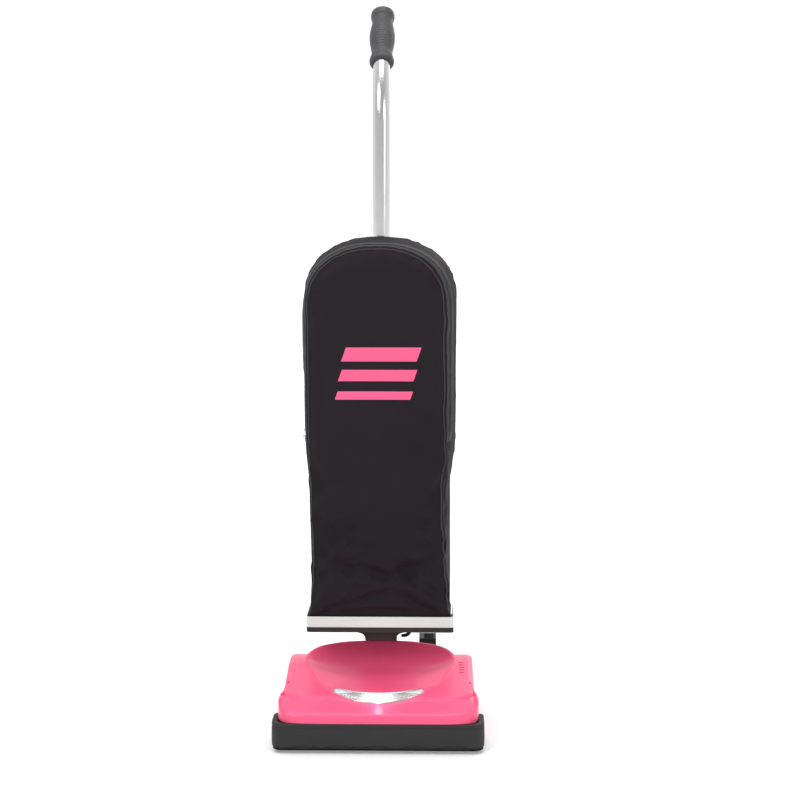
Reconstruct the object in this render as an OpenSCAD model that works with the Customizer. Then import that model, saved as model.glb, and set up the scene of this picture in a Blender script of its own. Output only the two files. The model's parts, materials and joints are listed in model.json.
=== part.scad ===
// Light upright vacuum cleaner: motor base, soft bag on a metal handle tube.
// +Z up, front towards -Y, +X to the right of a person facing the front.

/* [Base] */
// Width over the bumper
bumper_w = 328; // [324:1:332]
// Distance of the bumper's front face from the origin
front_d = 183; // [181:1:185]
// Height of the bumper
bumper_h = 42; // [40:1:43]
// Thickness of the bumper wall
bumper_t = 9.5; // [8:0.5:10]
// Thickness of the hood's shell
hood_t = 2.6; // [2:0.1:3]
// Height of the rim behind the bowl
rim_z = 122; // [118:1:122]

/* [Wheels] */
// Radius of a rear wheel over its tyre
wheel_r = 27; // [26:0.5:28]
// Width of a rear wheel
wheel_w = 18; // [14:1:20]

/* [Brush roll] */
// Radius of the roll's core
core_r = 15; // [13:0.5:16]
// Radius over the bristle tips
tip_r = 23.5; // [21:0.5:24]
// Number of tufts in a row
tufts = 20; // [10:1:20]
// Number of tuft rows
rows = 4; // [2:1:6]

/* [Motor] */
// Outer radius of the motor's can
can_r = 34; // [31:1:35]
// Radius of the motor's shaft
shaft_r = 4; // [3:0.5:4.5]
// Number of fan blades
blades = 8; // [5:1:12]

/* [Handle] */
// Outside diameter of the handle tube
tube_d = 27; // [24:0.5:28]
// Height at which the tube starts to bend back
bend_z = 968; // [940:1:980]
// How far the grip leans back
bend_a = 40; // [30:1:45]
// Radius of the bend
bend_r = 143; // [130:1:150]
// Length of the grip
grip_l = 116; // [110:1:120]

/* [Bag] */
// Half width of the bag above its waist
bag_hw = 124; // [118:1:126]
// Height of the top of the bag's back
bag_top = 785; // [760:1:795]
// Height of the waist where the zipper ends
waist_z = 457; // [430:1:480]
// Thickness of the bag's cloth in the model
cloth_t = 1.6; // [1:0.1:2]

/* [Hidden] */
$fn = 48;
eps = 0.01;
run_gap = 0.05;

PINK = [1, 0.4, 0.58];
BLACK = [0.12, 0.12, 0.13];
DARK = [0.22, 0.21, 0.22];
STEEL = [0.72, 0.73, 0.75];
CLOTH = [0.17, 0.15, 0.17];
COPPER = [0.75, 0.42, 0.22];
BRASS = [0.8, 0.68, 0.35];
CLEAR = [0.9, 0.93, 0.95];
PAPER = [0.86, 0.83, 0.76];
GREY = [0.55, 0.55, 0.57];

// heights of the base's layers
floor_z = 7;
deck_t = 3;
plate_z = 3;
plate_t = 2;
bumper_z = 5;
lip_z = bumper_z + bumper_h;
// brush roll
roll_y = -135;
roll_z = 27.5;
chamber_r = 30;
chamber_t = 3;
roll_hl = 138;
tuft_r = 2.6;
tuft_step = 11;
tuft_x0 = -97.5;
belt_x = -113;
belt_w = 10;
// motor
motor_y = -12;
motor_z = 46;
can_hl = 60;
pulley_r = 8;
roll_pulley_r = 16;
belt_t = 1.6;
// fan
fan_x0 = 66;
fan_x1 = 98;
fan_r = 32;
housing_r = 35.8;
outlet_top = 78;
wall = 2;
inlet_r = 15;
duct_y1 = 74;
duct_z0 = 40;
// pivot of the handle
pivot_y = 56;
pivot_z = 58;
drum_r = 20;
drum_hl = 38;
trunnion_r = 15;
trunnion_hl = 57;
bush_r = 18;
cheek_x0 = 40;
cheek_x1 = 52;
cheek_y0 = 44;
cheek_y1 = 70;
cheek_top = 121;
cheek_rim = 5;
neck_bore = 13;
// rear wheels
axle_y = 51;
axle_r = 4;
wheel_x = 115;
bearer_dx = 17;
hub_r = wheel_r - 6;
// foot pedal
pedal_y = 40;
pedal_z = 102;
pedal_x0 = 62;
pedal_x1 = 90;
pin_r = 2;
// bag plate and neck
box_z = 132;
deck_z = 157.5;
deck_h = 8;
strip_h = 17.5;
strip_t = 1.5;
plate_hw = 117.5;
plate_y0 = -57;
plate_y1 = 34;
dock_y = 1;
dock_r = 15;
// handle tube
tube_y = 52;
tube_r = tube_d / 2;
tube_t = 1.5;
tube_z0 = 160;
socket_r = 18;
socket_z1 = 222;
tube_in_grip = 60;
clamp_t = 3;
gland_z = 250;
gland_r = 5.9;
cord_r = 4;
hook_low_z = 330;
hook_up_z = 700;
hook_reach = 26;
hook_pin_r = 3;
hook_w = 8.8;
hook_y = tube_y + tube_r + 7;
// screws
screw_r = 1.8;
head_r = 3.6;
head_h = 2.4;

function mix(a, b, t) = a + (b - a) * t;
function clamp01(t) = max(0, min(1, t));
function ease(a, b, v) = let(t = clamp01((v - a) / (b - a))) t * t * (3 - 2 * t);

module xcyl(r, x0, x1, y, z, fn = $fn)
    translate([x0, y, z]) rotate([0, 90, 0]) cylinder(r = r, h = x1 - x0, $fn = fn);
module ycyl(r, y0, y1, x, z, fn = $fn)
    translate([x, y0, z]) rotate([-90, 0, 0]) cylinder(r = r, h = y1 - y0, $fn = fn);
module zcyl(r, z0, z1, x, y, fn = $fn)
    translate([x, y, z0]) cylinder(r = r, h = z1 - z0, $fn = fn);
module box(x0, x1, y0, y1, z0, z1)
    translate([x0, y0, z0]) cube([x1 - x0, y1 - y0, z1 - z0]);

// block from -hw to hw in X with upright corners of radius r
module slab(hw, y0, y1, z0, z1, r) {
    box(-hw + r, hw - r, y0, y1, z0, z1);
    box(-hw, hw, y0 + r, y1 - r, z0, z1);
    for (sx = [-1, 1], y = [y0 + r, y1 - r]) zcyl(r, z0, z1, sx * (hw - r), y);
}

// ---------- base: bumper, tray and plates ----------
bumper_hw = bumper_w / 2;
bumper_back = -95;
scallops = 5;
scallop_pitch = 58;
scallop_r = 90;
scallop_rise = 4;

module bumper() {
    color(DARK) difference() {
        slab(bumper_hw, -front_d, 0, bumper_z, lip_z, 18);
        slab(bumper_hw - bumper_t, -front_d + 6, 40, bumper_z - 1, lip_z + 1, 12);
        box(-bumper_hw - 1, bumper_hw + 1, bumper_back, 20, bumper_z - 1, lip_z + 1);
        for (i = [0 : scallops - 1])
            ycyl(scallop_r, -front_d - 1, -front_d + 30,
                (i - (scallops - 1) / 2) * scallop_pitch,
                bumper_z + scallop_rise - scallop_r, 96);
    }
}

tray_hw = 140.5;
front_hw = 154;
tray_back = 82;
front_back = -97;
tray_wall = 2.5;
tray_r = 38;

module brush_tunnel() {
    difference() {
        xcyl(chamber_r + chamber_t, -front_hw + tray_wall, front_hw - tray_wall, roll_y, roll_z);
        xcyl(chamber_r, -front_hw, front_hw, roll_y, roll_z);
        box(-front_hw, front_hw, roll_y - 40, roll_y + 40, -20, floor_z - eps);
        box(-124, -102, roll_y + 15, -95, 10, 52);
        box(107, 127, roll_y + 15, -95, 34, 54);
        for (sx = [-1, 1]) box(sx * 149 - 7, sx * 149 + 7, roll_y - 40, roll_y + 40, 44, 70);
    }
}

module chassis() {
    color(BLACK) difference() {
        union() {
            slab(tray_hw, front_back - 10, tray_back, floor_z, floor_z + deck_t, tray_r);
            difference() {
                slab(tray_hw, front_back - tray_r - 2, tray_back, floor_z, 44, tray_r);
                slab(tray_hw - tray_wall, front_back - tray_r - 12, tray_back - tray_wall, 0, 45,
                    tray_r - tray_wall);
                box(-tray_hw - 1, tray_hw + 1, front_back - tray_r - 13, front_back, 0, 46);
            }
            difference() {
                slab(front_hw, -front_d + 6.5, front_back, floor_z, 44, 11.5);
                slab(front_hw - tray_wall, -front_d + 6.5 + tray_wall, front_back - tray_wall, 0, 45, 9);
                box(-124, -102, -110, -90, 10, 52);
                box(107, 127, -110, -90, 34, 54);
            }
            brush_tunnel();
            for (sx = [-1, 1], x = [wheel_x - bearer_dx, wheel_x + bearer_dx])
                box(sx * x - 3, sx * x + 3, axle_y - 9, axle_y + 9, floor_z, 38);
            for (x = [-48, 48]) box(x - 4, x + 4, motor_y - 30, motor_y + 30, floor_z, 24);
        }
        for (sx = [-1, 1])
            box(sx * wheel_x - wheel_w / 2 - 3, sx * wheel_x + wheel_w / 2 + 3,
                axle_y - wheel_r - 3, axle_y + wheel_r + 0.5, 0, 46);
        for (sx = [-1, 1]) box(sx * 150 - 6, sx * 150 + 6, -111, front_back + 1, 13, 46);
        xcyl(axle_r + 0.02, -150, 150, axle_y, wheel_r);
        xcyl(can_r + 0.1, -60, 60, motor_y, motor_z);
        box(-61, 61, 50, 100, 42, 60);
    }
}

module sole_plate() {
    color(STEEL) difference() {
        slab(150, -front_d + 9, -99, plate_z, plate_z + plate_t, 8);
        for (i = [0 : 4]) {
            x0 = -136 + i * 55 + 1;
            box(x0, x0 + 53 - 1, -160, -112, plate_z - 1, plate_z + plate_t + 1);
        }
        for (sx = [-1, 1], y = [-168, -105]) zcyl(screw_r + 0.1, 0, 10, sx * 143, y);
    }
    color(STEEL) for (sx = [-1, 1]) box(sx * 120 - 12, sx * 120 + 12, -110, -101, plate_z + plate_t, floor_z);
}

module glide_pads() {
    color(BLACK) for (sx = [-1, 1]) box(sx * 110 - 16, sx * 110 + 16, -111, -100, 0, plate_z);
}

module sole_screws() {
    color(STEEL) for (sx = [-1, 1], y = [-168, -105])
        translate([sx * 143, y, 0]) {
            zcyl(head_r, plate_z - 1.2, plate_z, 0, 0, 24);
            zcyl(screw_r, plate_z, floor_z - 0.5, 0, 0, 24);
        }
}

// ---------- hood: rings of points from the skirt to the middle of the bowl ----------
dirs = 48;
bowl_y = -60;
bowl_z = 84;
bowl_power = 2.5;
hood_front = front_d - 2;
hood_back = 88;
hood_hl = (hood_front + hood_back) / 2;
nose_hw = 156;
shoulder_hw = 146;
step_y0 = -142;
step_y1 = -132;
corner_n = 10;
// radius of the bowl's edge, by direction from straight ahead
bowl_edge = [[0, 97], [43, 102.6], [62, 103], [78, 106], [90, 111], [101, 122], [110, 131],
    [118, 132], [126, 127], [143, 105.6], [160, 91.5], [180, 87]];
// height of the bowl's edge, by the same direction
edge_rise = [[0, 86], [35, 87], [45, 87], [62, 88], [78, 92], [90, 96], [104, 101], [111, 105],
    [119, 111], [128, 116], [143, 120], [160, 121.6], [180, 122]];
// width of the sloped band outside the bowl's edge: the lamp's face in front, a thin rim behind
band_w = [[0, 12], [36, 12], [46, 4], [60, 2.5], [180, 2.5]];

function fold(a) = abs(a > 180 ? a - 360 : a);
function super(a) = 1 / pow(pow(abs(sin(a)) / nose_hw, corner_n)
    + pow(abs(cos(a)) / hood_hl, corner_n), 1 / corner_n);
// point of a rounded outline of half width hw from y0 to y1, in direction a
function outline(hw, y0, y1, a) = [hw * super(a) * sin(a) / nose_hw,
    (y0 + y1) / 2 - (y1 - y0) / 2 * super(a) * cos(a) / hood_hl];
function behind(y) = ease(step_y0, step_y1, y);
function pulled_in(p, k) = [p[0] * mix(1, k, behind(p[1])), p[1]];
function shoulder_z(y) = (y < -30 ? 79 + (y + 148) * 0.175 : 99.65 + 1.2 * sin(min(90, (y + 30) * 3)))
    - 0.0035 * pow(max(0, y), 2);
function nose_z(y) = mix(61, 75.5, clamp01((y + hood_front - 3) / 29));
function top_z(y) = mix(nose_z(y), shoulder_z(y), ease(-149.5, -146, y));
function skirt_z(y) = mix(lip_z, 14, ease(-96, -91, y));
function rim_scale(a) = 1 + (rim_z / 122 - 1) * ease(100, 140, fold(a));
function edge_r(a) = lookup(fold(a), bowl_edge);
function edge_z(a) = lookup(fold(a), edge_rise) * rim_scale(a);
function band(a) = lookup(fold(a), band_w);
function polar(r, a) = [r * sin(a), bowl_y - r * cos(a)];
// keeps a point of an outer ring ahead of the lamp's face
function ahead(p, gap, a) = fold(a) > 60 ? p : [p[0], min(p[1], polar(edge_r(a) + gap, a)[1])];
function up(p, z) = [p[0], p[1], z];
function on_top(p, lift) = up(p, top_z(p[1]) + lift);
function bowl_pt(f, a) = let(p = polar((edge_r(a) - band(a)) * f, a))
    up(p, mix(bowl_z, edge_z(a), pow(f, bowl_power)));
function sunk(p, d) = up(p, d > 0 ? min(p[2], top_z(p[1])) - d : p[2]);

// outer skin of the hood in direction a; d is how far the skin is moved inwards
function skin(a, d) = let(
    foot = pulled_in(outline(nose_hw - d, -hood_front + d, hood_back - d, a), (shoulder_hw + 1) / nose_hw),
    lip = pulled_in(outline(nose_hw - 3 - d, -hood_front + 3 + d, hood_back - 2 - d, a),
        (shoulder_hw - 2) / (nose_hw - 3)),
    ledge = ahead(pulled_in(outline(shoulder_hw + 0.5 - d, -149.5, hood_back - 3 - d, a), 0.98), 4, a),
    crest = ahead(pulled_in(outline(shoulder_hw - 2 - d, -146, hood_back - 5 - d, a), 0.98), 2.5, a),
    edge_foot = polar(edge_r(a) + 0.8, a),
    edge_top = polar(edge_r(a) + (fold(a) > 55 ? 0.4 : 0), a),
    face = ease(36, 55, fold(a)))
    [up(foot, skirt_z(foot[1])),
     up(foot, mix(57, shoulder_z(foot[1]) - 6, ease(-165, -138, foot[1])) - d),
     up(lip, mix(nose_z(lip[1]), shoulder_z(lip[1]) - 2, behind(lip[1])) - d),
     up(ledge, mix(min(75.5, nose_z(ledge[1])), shoulder_z(ledge[1]) - 1, behind(ledge[1])) - d),
     on_top(crest, -d),
     on_top(mix(crest, edge_foot, 0.5), -d),
     on_top(edge_foot, 0.3 - d),
     sunk(up(edge_top, mix(top_z(edge_top[1]) + 0.4, edge_z(a), face)), d),
     sunk(bowl_pt(1, a), d),
     sunk(bowl_pt(0.9, a), d),
     sunk(bowl_pt(0.7, a), d),
     sunk(bowl_pt(0.4, a), d)];

module hood_shell() {
    m = len(skin(0, 0));
    outer = [for (j = [0 : m - 1]) for (i = [0 : dirs - 1]) skin(i * 360 / dirs, 0)[j]];
    inner = [for (j = [0 : m - 1]) for (i = [0 : dirs - 1]) skin(i * 360 / dirs, hood_t)[j]];
    n = m * dirs;
    points = concat(outer, inner, [[0, bowl_y, bowl_z], [0, bowl_y, bowl_z - hood_t]]);
    faces = concat(
        [for (j = [0 : m - 2]) for (i = [0 : dirs - 1]) let(k = (i + 1) % dirs)
            each [[j * dirs + i, (j + 1) * dirs + i, (j + 1) * dirs + k],
                [j * dirs + i, (j + 1) * dirs + k, j * dirs + k]]],
        [for (j = [0 : m - 2]) for (i = [0 : dirs - 1]) let(k = (i + 1) % dirs)
            each [[n + j * dirs + i, n + (j + 1) * dirs + k, n + (j + 1) * dirs + i],
                [n + j * dirs + i, n + j * dirs + k, n + (j + 1) * dirs + k]]],
        [for (i = [0 : dirs - 1]) let(k = (i + 1) % dirs) [(m - 1) * dirs + i, 2 * n, (m - 1) * dirs + k]],
        [for (i = [0 : dirs - 1]) let(k = (i + 1) % dirs)
            [n + (m - 1) * dirs + i, n + (m - 1) * dirs + k, 2 * n + 1]],
        [for (i = [0 : dirs - 1]) let(k = (i + 1) % dirs) each [[i, k, n + k], [i, n + k, n + i]]]);
    polyhedron(points = points, faces = faces);
}

// sector of a ring about the lamp's arc centre, with the section given as (radius, height) points
lamp_y = -35;
lamp_a = 34;
bulb_y = -148;
holder_r = 4.8;
module lamp_sector(section, half_a)
    translate([0, lamp_y, 0]) rotate([0, 0, -90 - half_a])
        rotate_extrude(angle = 2 * half_a, $fn = 180) polygon(section);

slot_hw = 56;
module hood() {
    color(PINK) resize([0, 0, 0]) difference() {
        hood_shell();
        box(-slot_hw, slot_hw, 31, 100, 38, 140);
        lamp_sector([[126.5, 74], [114.5, 90.5], [104, 80.5], [104, 77], [118, 67]], lamp_a);
    }
}

module headlight_lens() {
    color(CLEAR, 0.6) lamp_sector([[122.2, 72.4], [111.2, 86], [109.6, 84.7], [120.6, 71.1]], lamp_a - 0.3);
}
module headlight_reflector() {
    color(STEEL) difference() {
        lamp_sector([[118, 70], [116.6, 69], [111, 70.2], [107.6, 75], [107.8, 80.3], [106.4, 80.5],
            [106, 75], [110, 68.6], [117, 67.2], [119, 68.8]], lamp_a - 0.3);
        zcyl(holder_r, 60, 72, 0, bulb_y, 24);
    }
}
module headlight_bulb() {
    color(CLEAR) {
        translate([0, bulb_y, 73.5]) sphere(r = 3.6, $fn = 24);
        zcyl(2.4, 68, 71, 0, bulb_y, 24);
    }
}
module lamp_holder() {
    color(BLACK) zcyl(holder_r - 0.3, 62, 66.4, 0, bulb_y, 24);
    color(BRASS) zcyl(2.6, 66.4, 67.9, 0, bulb_y, 24);
}

hood_screw_at = [[-132, -60], [132, -60], [-90, 30], [90, 60]];
module hood_screws() {
    color(STEEL) for (p = hood_screw_at) zcyl(head_r, floor_z - head_h, floor_z - eps, p[0], p[1], 24);
}

// ---------- brush roll ----------
roll_clear = 0.02;
module brush_shaft() {
    color(STEEL) xcyl(shaft_r, -148, 148, roll_y, roll_z);
}
module brush_core() {
    color(BLACK) difference() {
        union() {
            xcyl(core_r, -roll_hl, roll_hl, roll_y, roll_z);
            xcyl(roll_pulley_r, belt_x - 8, belt_x + 8, roll_y, roll_z);
            for (x = [belt_x - 10, belt_x + 8]) xcyl(roll_pulley_r + 3, x, x + 2, roll_y, roll_z);
        }
        xcyl(shaft_r + roll_clear, -roll_hl - 1, roll_hl + 1, roll_y, roll_z);
    }
}
twist = 150;
module brush_bristles() {
    color(GREY) for (row = [0 : rows - 1], i = [0 : tufts - 1])
        translate([tuft_x0 + i * tuft_step, roll_y, roll_z])
            rotate([row * 360 / rows + i * twist / tufts, 0, 0])
                zcyl(tuft_r, core_r + 0.02, tip_r, 0, 0, 16);
}
module brush_end(side) {
    color(BLACK) difference() {
        union() {
            xcyl(14, side > 0 ? 141 : -149, side > 0 ? 149 : -141, roll_y, roll_z);
            box(side > 0 ? 141 : -149, side > 0 ? 149 : -141, roll_y - 14, roll_y + 14, floor_z, roll_z);
        }
        xcyl(shaft_r + run_gap, -151, 151, roll_y, roll_z);
    }
}
module brush_end_left() brush_end(-1);
module brush_end_right() brush_end(1);

belt_gap = 0.35;
module belt_outline(extra)
    hull() {
        translate([motor_y, motor_z]) circle(r = pulley_r + extra, $fn = 40);
        translate([roll_y, roll_z]) circle(r = roll_pulley_r + extra, $fn = 48);
    }
module drive_belt() {
    color(BLACK) translate([belt_x - belt_w / 2, 0, 0]) rotate([90, 0, 90])
        linear_extrude(belt_w) difference() {
            belt_outline(belt_gap + belt_t);
            belt_outline(belt_gap);
        }
}
module belt_cover() {
    color(BLACK) difference() {
        box(-127, -99, -96.8, 4, 11, 66);
        box(-125, -101, -100, 2, 13, 64);
        box(-102, -98, motor_y - 14, motor_y + 14, motor_z - 14, motor_z + 14);
    }
}

// ---------- motor ----------
module motor_can() {
    color(GREY) difference() {
        xcyl(can_r, -can_hl, can_hl, motor_y, motor_z);
        xcyl(can_r - 1.2, -can_hl - 1, can_hl + 1, motor_y, motor_z);
    }
}
module motor_end(x0, x1) {
    color(GREY) difference() {
        union() {
            xcyl(can_r, x0, x0 + 3, motor_y, motor_z);
            xcyl(9, x0, x1, motor_y, motor_z);
        }
        xcyl(shaft_r + run_gap, -140, 140, motor_y, motor_z);
    }
}
module motor_end_left() mirror([1, 0, 0]) motor_end(can_hl, can_hl + 8);
module motor_end_right() motor_end(can_hl, can_hl + 5);
module stator() {
    color(STEEL) difference() {
        xcyl(can_r - 1.25, -28, 22, motor_y, motor_z);
        xcyl(21, -29, 23, motor_y, motor_z);
    }
    color(COPPER) difference() {
        union() {
            xcyl(29, -40, -28, motor_y, motor_z);
            xcyl(29, 22, 30, motor_y, motor_z);
        }
        xcyl(22.5, -41, 31, motor_y, motor_z);
    }
}
module carbon_brushes() {
    color(BRASS) for (s = [-1, 1])
        translate([0, 0, motor_z + s * 21]) box(37, 45, motor_y - 5, motor_y + 5, -9.5, 9.5);
}
module motor_shaft() {
    color(STEEL) xcyl(shaft_r, -122, 96, motor_y, motor_z);
}
module armature() {
    color(STEEL) difference() {
        xcyl(20.4, -26, 20, motor_y, motor_z);
        xcyl(shaft_r + roll_clear, -30, 30, motor_y, motor_z);
        for (i = [0 : 11])
            translate([0, motor_y, motor_z]) rotate([i * 30, 0, 0]) box(-30, 30, -0.8, 0.8, 12, 22);
    }
}
module commutator() {
    color(COPPER) difference() {
        xcyl(11, 33, 48, motor_y, motor_z);
        xcyl(shaft_r + roll_clear, 30, 50, motor_y, motor_z);
    }
}
module motor_pulley() {
    color(STEEL) difference() {
        union() {
            xcyl(pulley_r, belt_x - 7, belt_x + 7, motor_y, motor_z);
            for (x = [belt_x - 8.5, belt_x + 7]) xcyl(pulley_r + 3, x, x + 1.5, motor_y, motor_z);
        }
        xcyl(shaft_r + roll_clear, -130, -90, motor_y, motor_z);
    }
}
module suction_fan() {
    color(GREY) difference() {
        union() {
            xcyl(fan_r, 70, 72, motor_y, motor_z);
            xcyl(8, 70, 92, motor_y, motor_z);
            for (i = [0 : blades - 1])
                translate([0, motor_y, motor_z]) rotate([i * 360 / blades, 0, 0])
                    box(72 - eps, 90, 3, 5, 5, fan_r - 1);
        }
        xcyl(shaft_r + roll_clear, 60, 100, motor_y, motor_z);
    }
}
module fan_housing() {
    color(BLACK) difference() {
        union() {
            xcyl(housing_r, fan_x0, fan_x1, motor_y, motor_z);
            box(fan_x0, fan_x1, motor_y, 28, motor_z, outlet_top);
        }
        xcyl(housing_r - wall, fan_x0 + wall, fan_x1 - wall, motor_y, motor_z);
        box(fan_x0 + wall, fan_x1 - wall, motor_y, 30, motor_z + wall, outlet_top - wall);
        xcyl(inlet_r, fan_x1 - 5, fan_x1 + 5, motor_y, motor_z);
        xcyl(10, fan_x0 - 5, fan_x0 + 5, motor_y, motor_z);
    }
}
module intake_duct() {
    color(BLACK) difference() {
        box(98.2, 133, -96.8, 12, 26, 66);
        box(100.2, 131, -98, 10, 28, 64);
        xcyl(inlet_r, 90, 102, motor_y, motor_z);
    }
}
module exhaust_duct() {
    color(BLACK) difference() {
        union() {
            box(fan_x0, fan_x1, 28.2, duct_y1, duct_z0, outlet_top);
            box(58, fan_x0 + 1, 36, duct_y1, duct_z0, outlet_top);
        }
        box(fan_x0 + wall, fan_x1 - wall, 27, duct_y1 - wall, duct_z0 + wall, outlet_top - wall);
        box(58 + wall, fan_x0 + 3, 36 + wall, duct_y1 - wall, duct_z0 + wall, outlet_top - wall);
        xcyl(trunnion_r - 2, 50, 62, pivot_y, pivot_z);
    }
}

// ---------- pivot, wheels ----------
module cheek(sx) {
    x0 = sx > 0 ? cheek_x0 : -cheek_x1;
    x1 = sx > 0 ? cheek_x1 : -cheek_x0;
    top_r = (x1 - x0) / 2;
    box(x0, x1, cheek_y0, cheek_y1, floor_z + deck_t, cheek_top - top_r);
    ycyl(top_r, cheek_y0, cheek_y1, x0 + top_r, cheek_top - top_r);
    xcyl(bush_r + cheek_rim, x0, x1, pivot_y, pivot_z);
}
module pivot_cheeks() {
    color(BLACK) difference() {
        for (sx = [-1, 1]) cheek(sx);
        xcyl(bush_r + 0.02, -60, 60, pivot_y, pivot_z);
        xcyl(axle_r + 1, -60, 60, axle_y, wheel_r);
    }
}
module pivot_bushes() {
    color(BRASS) difference() {
        for (x = [-cheek_x1, cheek_x0]) xcyl(bush_r, x, x + cheek_x1 - cheek_x0, pivot_y, pivot_z);
        xcyl(trunnion_r + run_gap, -60, 60, pivot_y, pivot_z);
    }
}
module rear_axle() {
    color(STEEL) xcyl(axle_r, -tray_hw + 1.5, tray_hw - 1.5, axle_y, wheel_r);
}
module wheel(x) {
    color(BLACK) difference() {
        union() {
            xcyl(hub_r, x - wheel_w / 2 + 2, x + wheel_w / 2 - 2, axle_y, wheel_r);
            xcyl(9, x - wheel_w / 2, x + wheel_w / 2, axle_y, wheel_r);
        }
        xcyl(axle_r + run_gap, x - 20, x + 20, axle_y, wheel_r);
        for (i = [0 : 4])
            translate([x, axle_y, wheel_r]) rotate([i * 72, 0, 0]) xcyl(4, -20, 20, 0, 14.5, 24);
    }
}
module tyre(x) {
    color(DARK) difference() {
        xcyl(wheel_r, x - wheel_w / 2 + 1, x + wheel_w / 2 - 1, axle_y, wheel_r);
        xcyl(hub_r + 0.02, x - 20, x + 20, axle_y, wheel_r);
    }
}
module wheel_left() wheel(-wheel_x);
module wheel_right() wheel(wheel_x);
module tyre_left() tyre(-wheel_x);
module tyre_right() tyre(wheel_x);

// ---------- foot pedal and switch ----------
module power_switch() {
    color(GREY) {
        box(69, 83, 58, 71, 91.5, 99);
        zcyl(3.5, 99, 102, 76, 64.5, 32);
    }
}
module pedal_bracket() {
    color(BLACK) difference() {
        union() {
            for (x = [pedal_x0 - 4, pedal_x1 + 1]) {
                box(x, x + 3, pedal_y - 6, pedal_y + 6, 97, pedal_z);
                xcyl(6, x, x + 3, pedal_y, pedal_z, 32);
            }
            // wedge that follows the hood's slope
            translate([pedal_x0 - 4, 0, 0]) rotate([90, 0, 90]) linear_extrude(pedal_x1 - pedal_x0 + 8)
                polygon([[34, 97.3], [46, 94.2], [58, 89.6], [74, 82.4], [74, 91.4], [58, 91.4], [46, 97.5],
                    [34, 97.5]]);
        }
        xcyl(pin_r + 0.02, 50, 100, pedal_y, pedal_z, 24);
        xcyl(6, pedal_x0 - 0.5, pedal_x1 + 0.5, pedal_y, pedal_z, 32);
    }
}
module pedal_pin() {
    color(STEEL) xcyl(pin_r, pedal_x0 - 5, pedal_x1 + 5, pedal_y, pedal_z, 24);
}
module foot_pedal() {
    color(BLACK) difference() {
        union() {
            rotate([90, 0, 90]) translate([0, 0, pedal_x0]) linear_extrude(pedal_x1 - pedal_x0)
                polygon([[37, 105], [44, 98], [50, 106], [78, 110], [80, 114], [78, 121], [50, 119]]);
            xcyl(5, pedal_x0, pedal_x1, pedal_y, pedal_z, 32);
        }
        xcyl(pin_r + run_gap, 50, 100, pedal_y, pedal_z, 24);
        translate([pedal_x0 - 2, 60, 112]) rotate([0, -35, 0]) box(-8, 2.2, -40, 40, -4, 20);
        box(pedal_x0 + 9, pedal_x1 - 9, pedal_y - 8, pedal_y + 7, pedal_z - 8, pedal_z + 6);
    }
}
module pedal_spring() {
    color(STEEL) for (i = [0 : 3])
        translate([pedal_x0 + 11.5 + i * 1.8, pedal_y, pedal_z]) rotate([0, 90, 0])
            rotate_extrude($fn = 32) translate([3.6, 0]) circle(r = 0.7, $fn = 14);
}

// ---------- handle: yoke, bag plate, tube ----------
neck_hw = 27;
flare_r = 10;
neck_y0 = 37;
neck_y1 = 67;
box_y0 = -21;
module handle_yoke() {
    color(BLACK) difference() {
        union() {
            xcyl(drum_r, -drum_hl, drum_hl, pivot_y, pivot_z);
            xcyl(trunnion_r, -trunnion_hl, trunnion_hl, pivot_y, pivot_z);
            box(-neck_hw, neck_hw, neck_y0, neck_y1, pivot_z, box_z);
            difference() {
                box(-neck_hw - flare_r, neck_hw + flare_r, neck_y0, neck_y1, box_z - flare_r, box_z + 1);
                for (sx = [-1, 1])
                    ycyl(flare_r, neck_y0 - 1, neck_y1 + 1, sx * (neck_hw + flare_r), box_z - flare_r);
            }
            box(-neck_hw - flare_r, neck_hw + flare_r, box_y0, neck_y1 + 4, box_z, deck_z);
            zcyl(socket_r, deck_z - 1, socket_z1, 0, tube_y);
        }
        xcyl(trunnion_r - 2, -drum_hl + 4, trunnion_hl + 1, pivot_y, pivot_z);
        zcyl(neck_bore, pivot_z, box_z + 5, 0, tube_y);
        box(-neck_bore, neck_bore, box_y0 + 4, tube_y + neck_bore, box_z + 4, deck_z - 4);
        zcyl(dock_r, deck_z - 5, deck_z + 1, 0, dock_y);
        zcyl(tube_r + 0.03, tube_z0, socket_z1 + 1, 0, tube_y);
        for (sx = [-1, 1]) zcyl(screw_r + 0.1, box_z + 6, deck_z + 1, sx * 31, 4);
    }
}

// lead from the underside of the bag plate into the side of the neck
lead_r = 3;
lead_path = [[47, 40, 157], [47, 40, 150], [47, 40, 143], [47, 40, 137], [46, 40, 132], [43.5, 41, 128.5],
    [40, 42, 126.5], [36, 43, 125.8], [33.4, 44, 125.6]];
function unit(v) = v / norm(v);
function tangent(p, i) = unit(p[min(i + 1, len(p) - 1)] - p[max(i - 1, 0)]);
module sweep(p, r, sides) {
    m = len(p);
    pts = [for (i = [0 : m - 1]) let(t = tangent(p, i), u = unit(cross(t, [0, 1, 0])), v = cross(t, u))
        for (k = [0 : sides - 1]) p[i] + r * (cos(k * 360 / sides) * u + sin(k * 360 / sides) * v)];
    faces = concat(
        [for (i = [0 : m - 2]) for (k = [0 : sides - 1]) let(n = (k + 1) % sides)
            each [[i * sides + k, (i + 1) * sides + n, i * sides + n],
                [i * sides + k, (i + 1) * sides + k, (i + 1) * sides + n]]],
        [[for (k = [0 : sides - 1]) k], [for (k = [sides - 1 : -1 : 0]) (m - 1) * sides + k]]);
    polyhedron(points = pts, faces = faces);
}
module supply_lead() {
    color(BLACK) sweep(lead_path, lead_r, 10);
}

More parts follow.
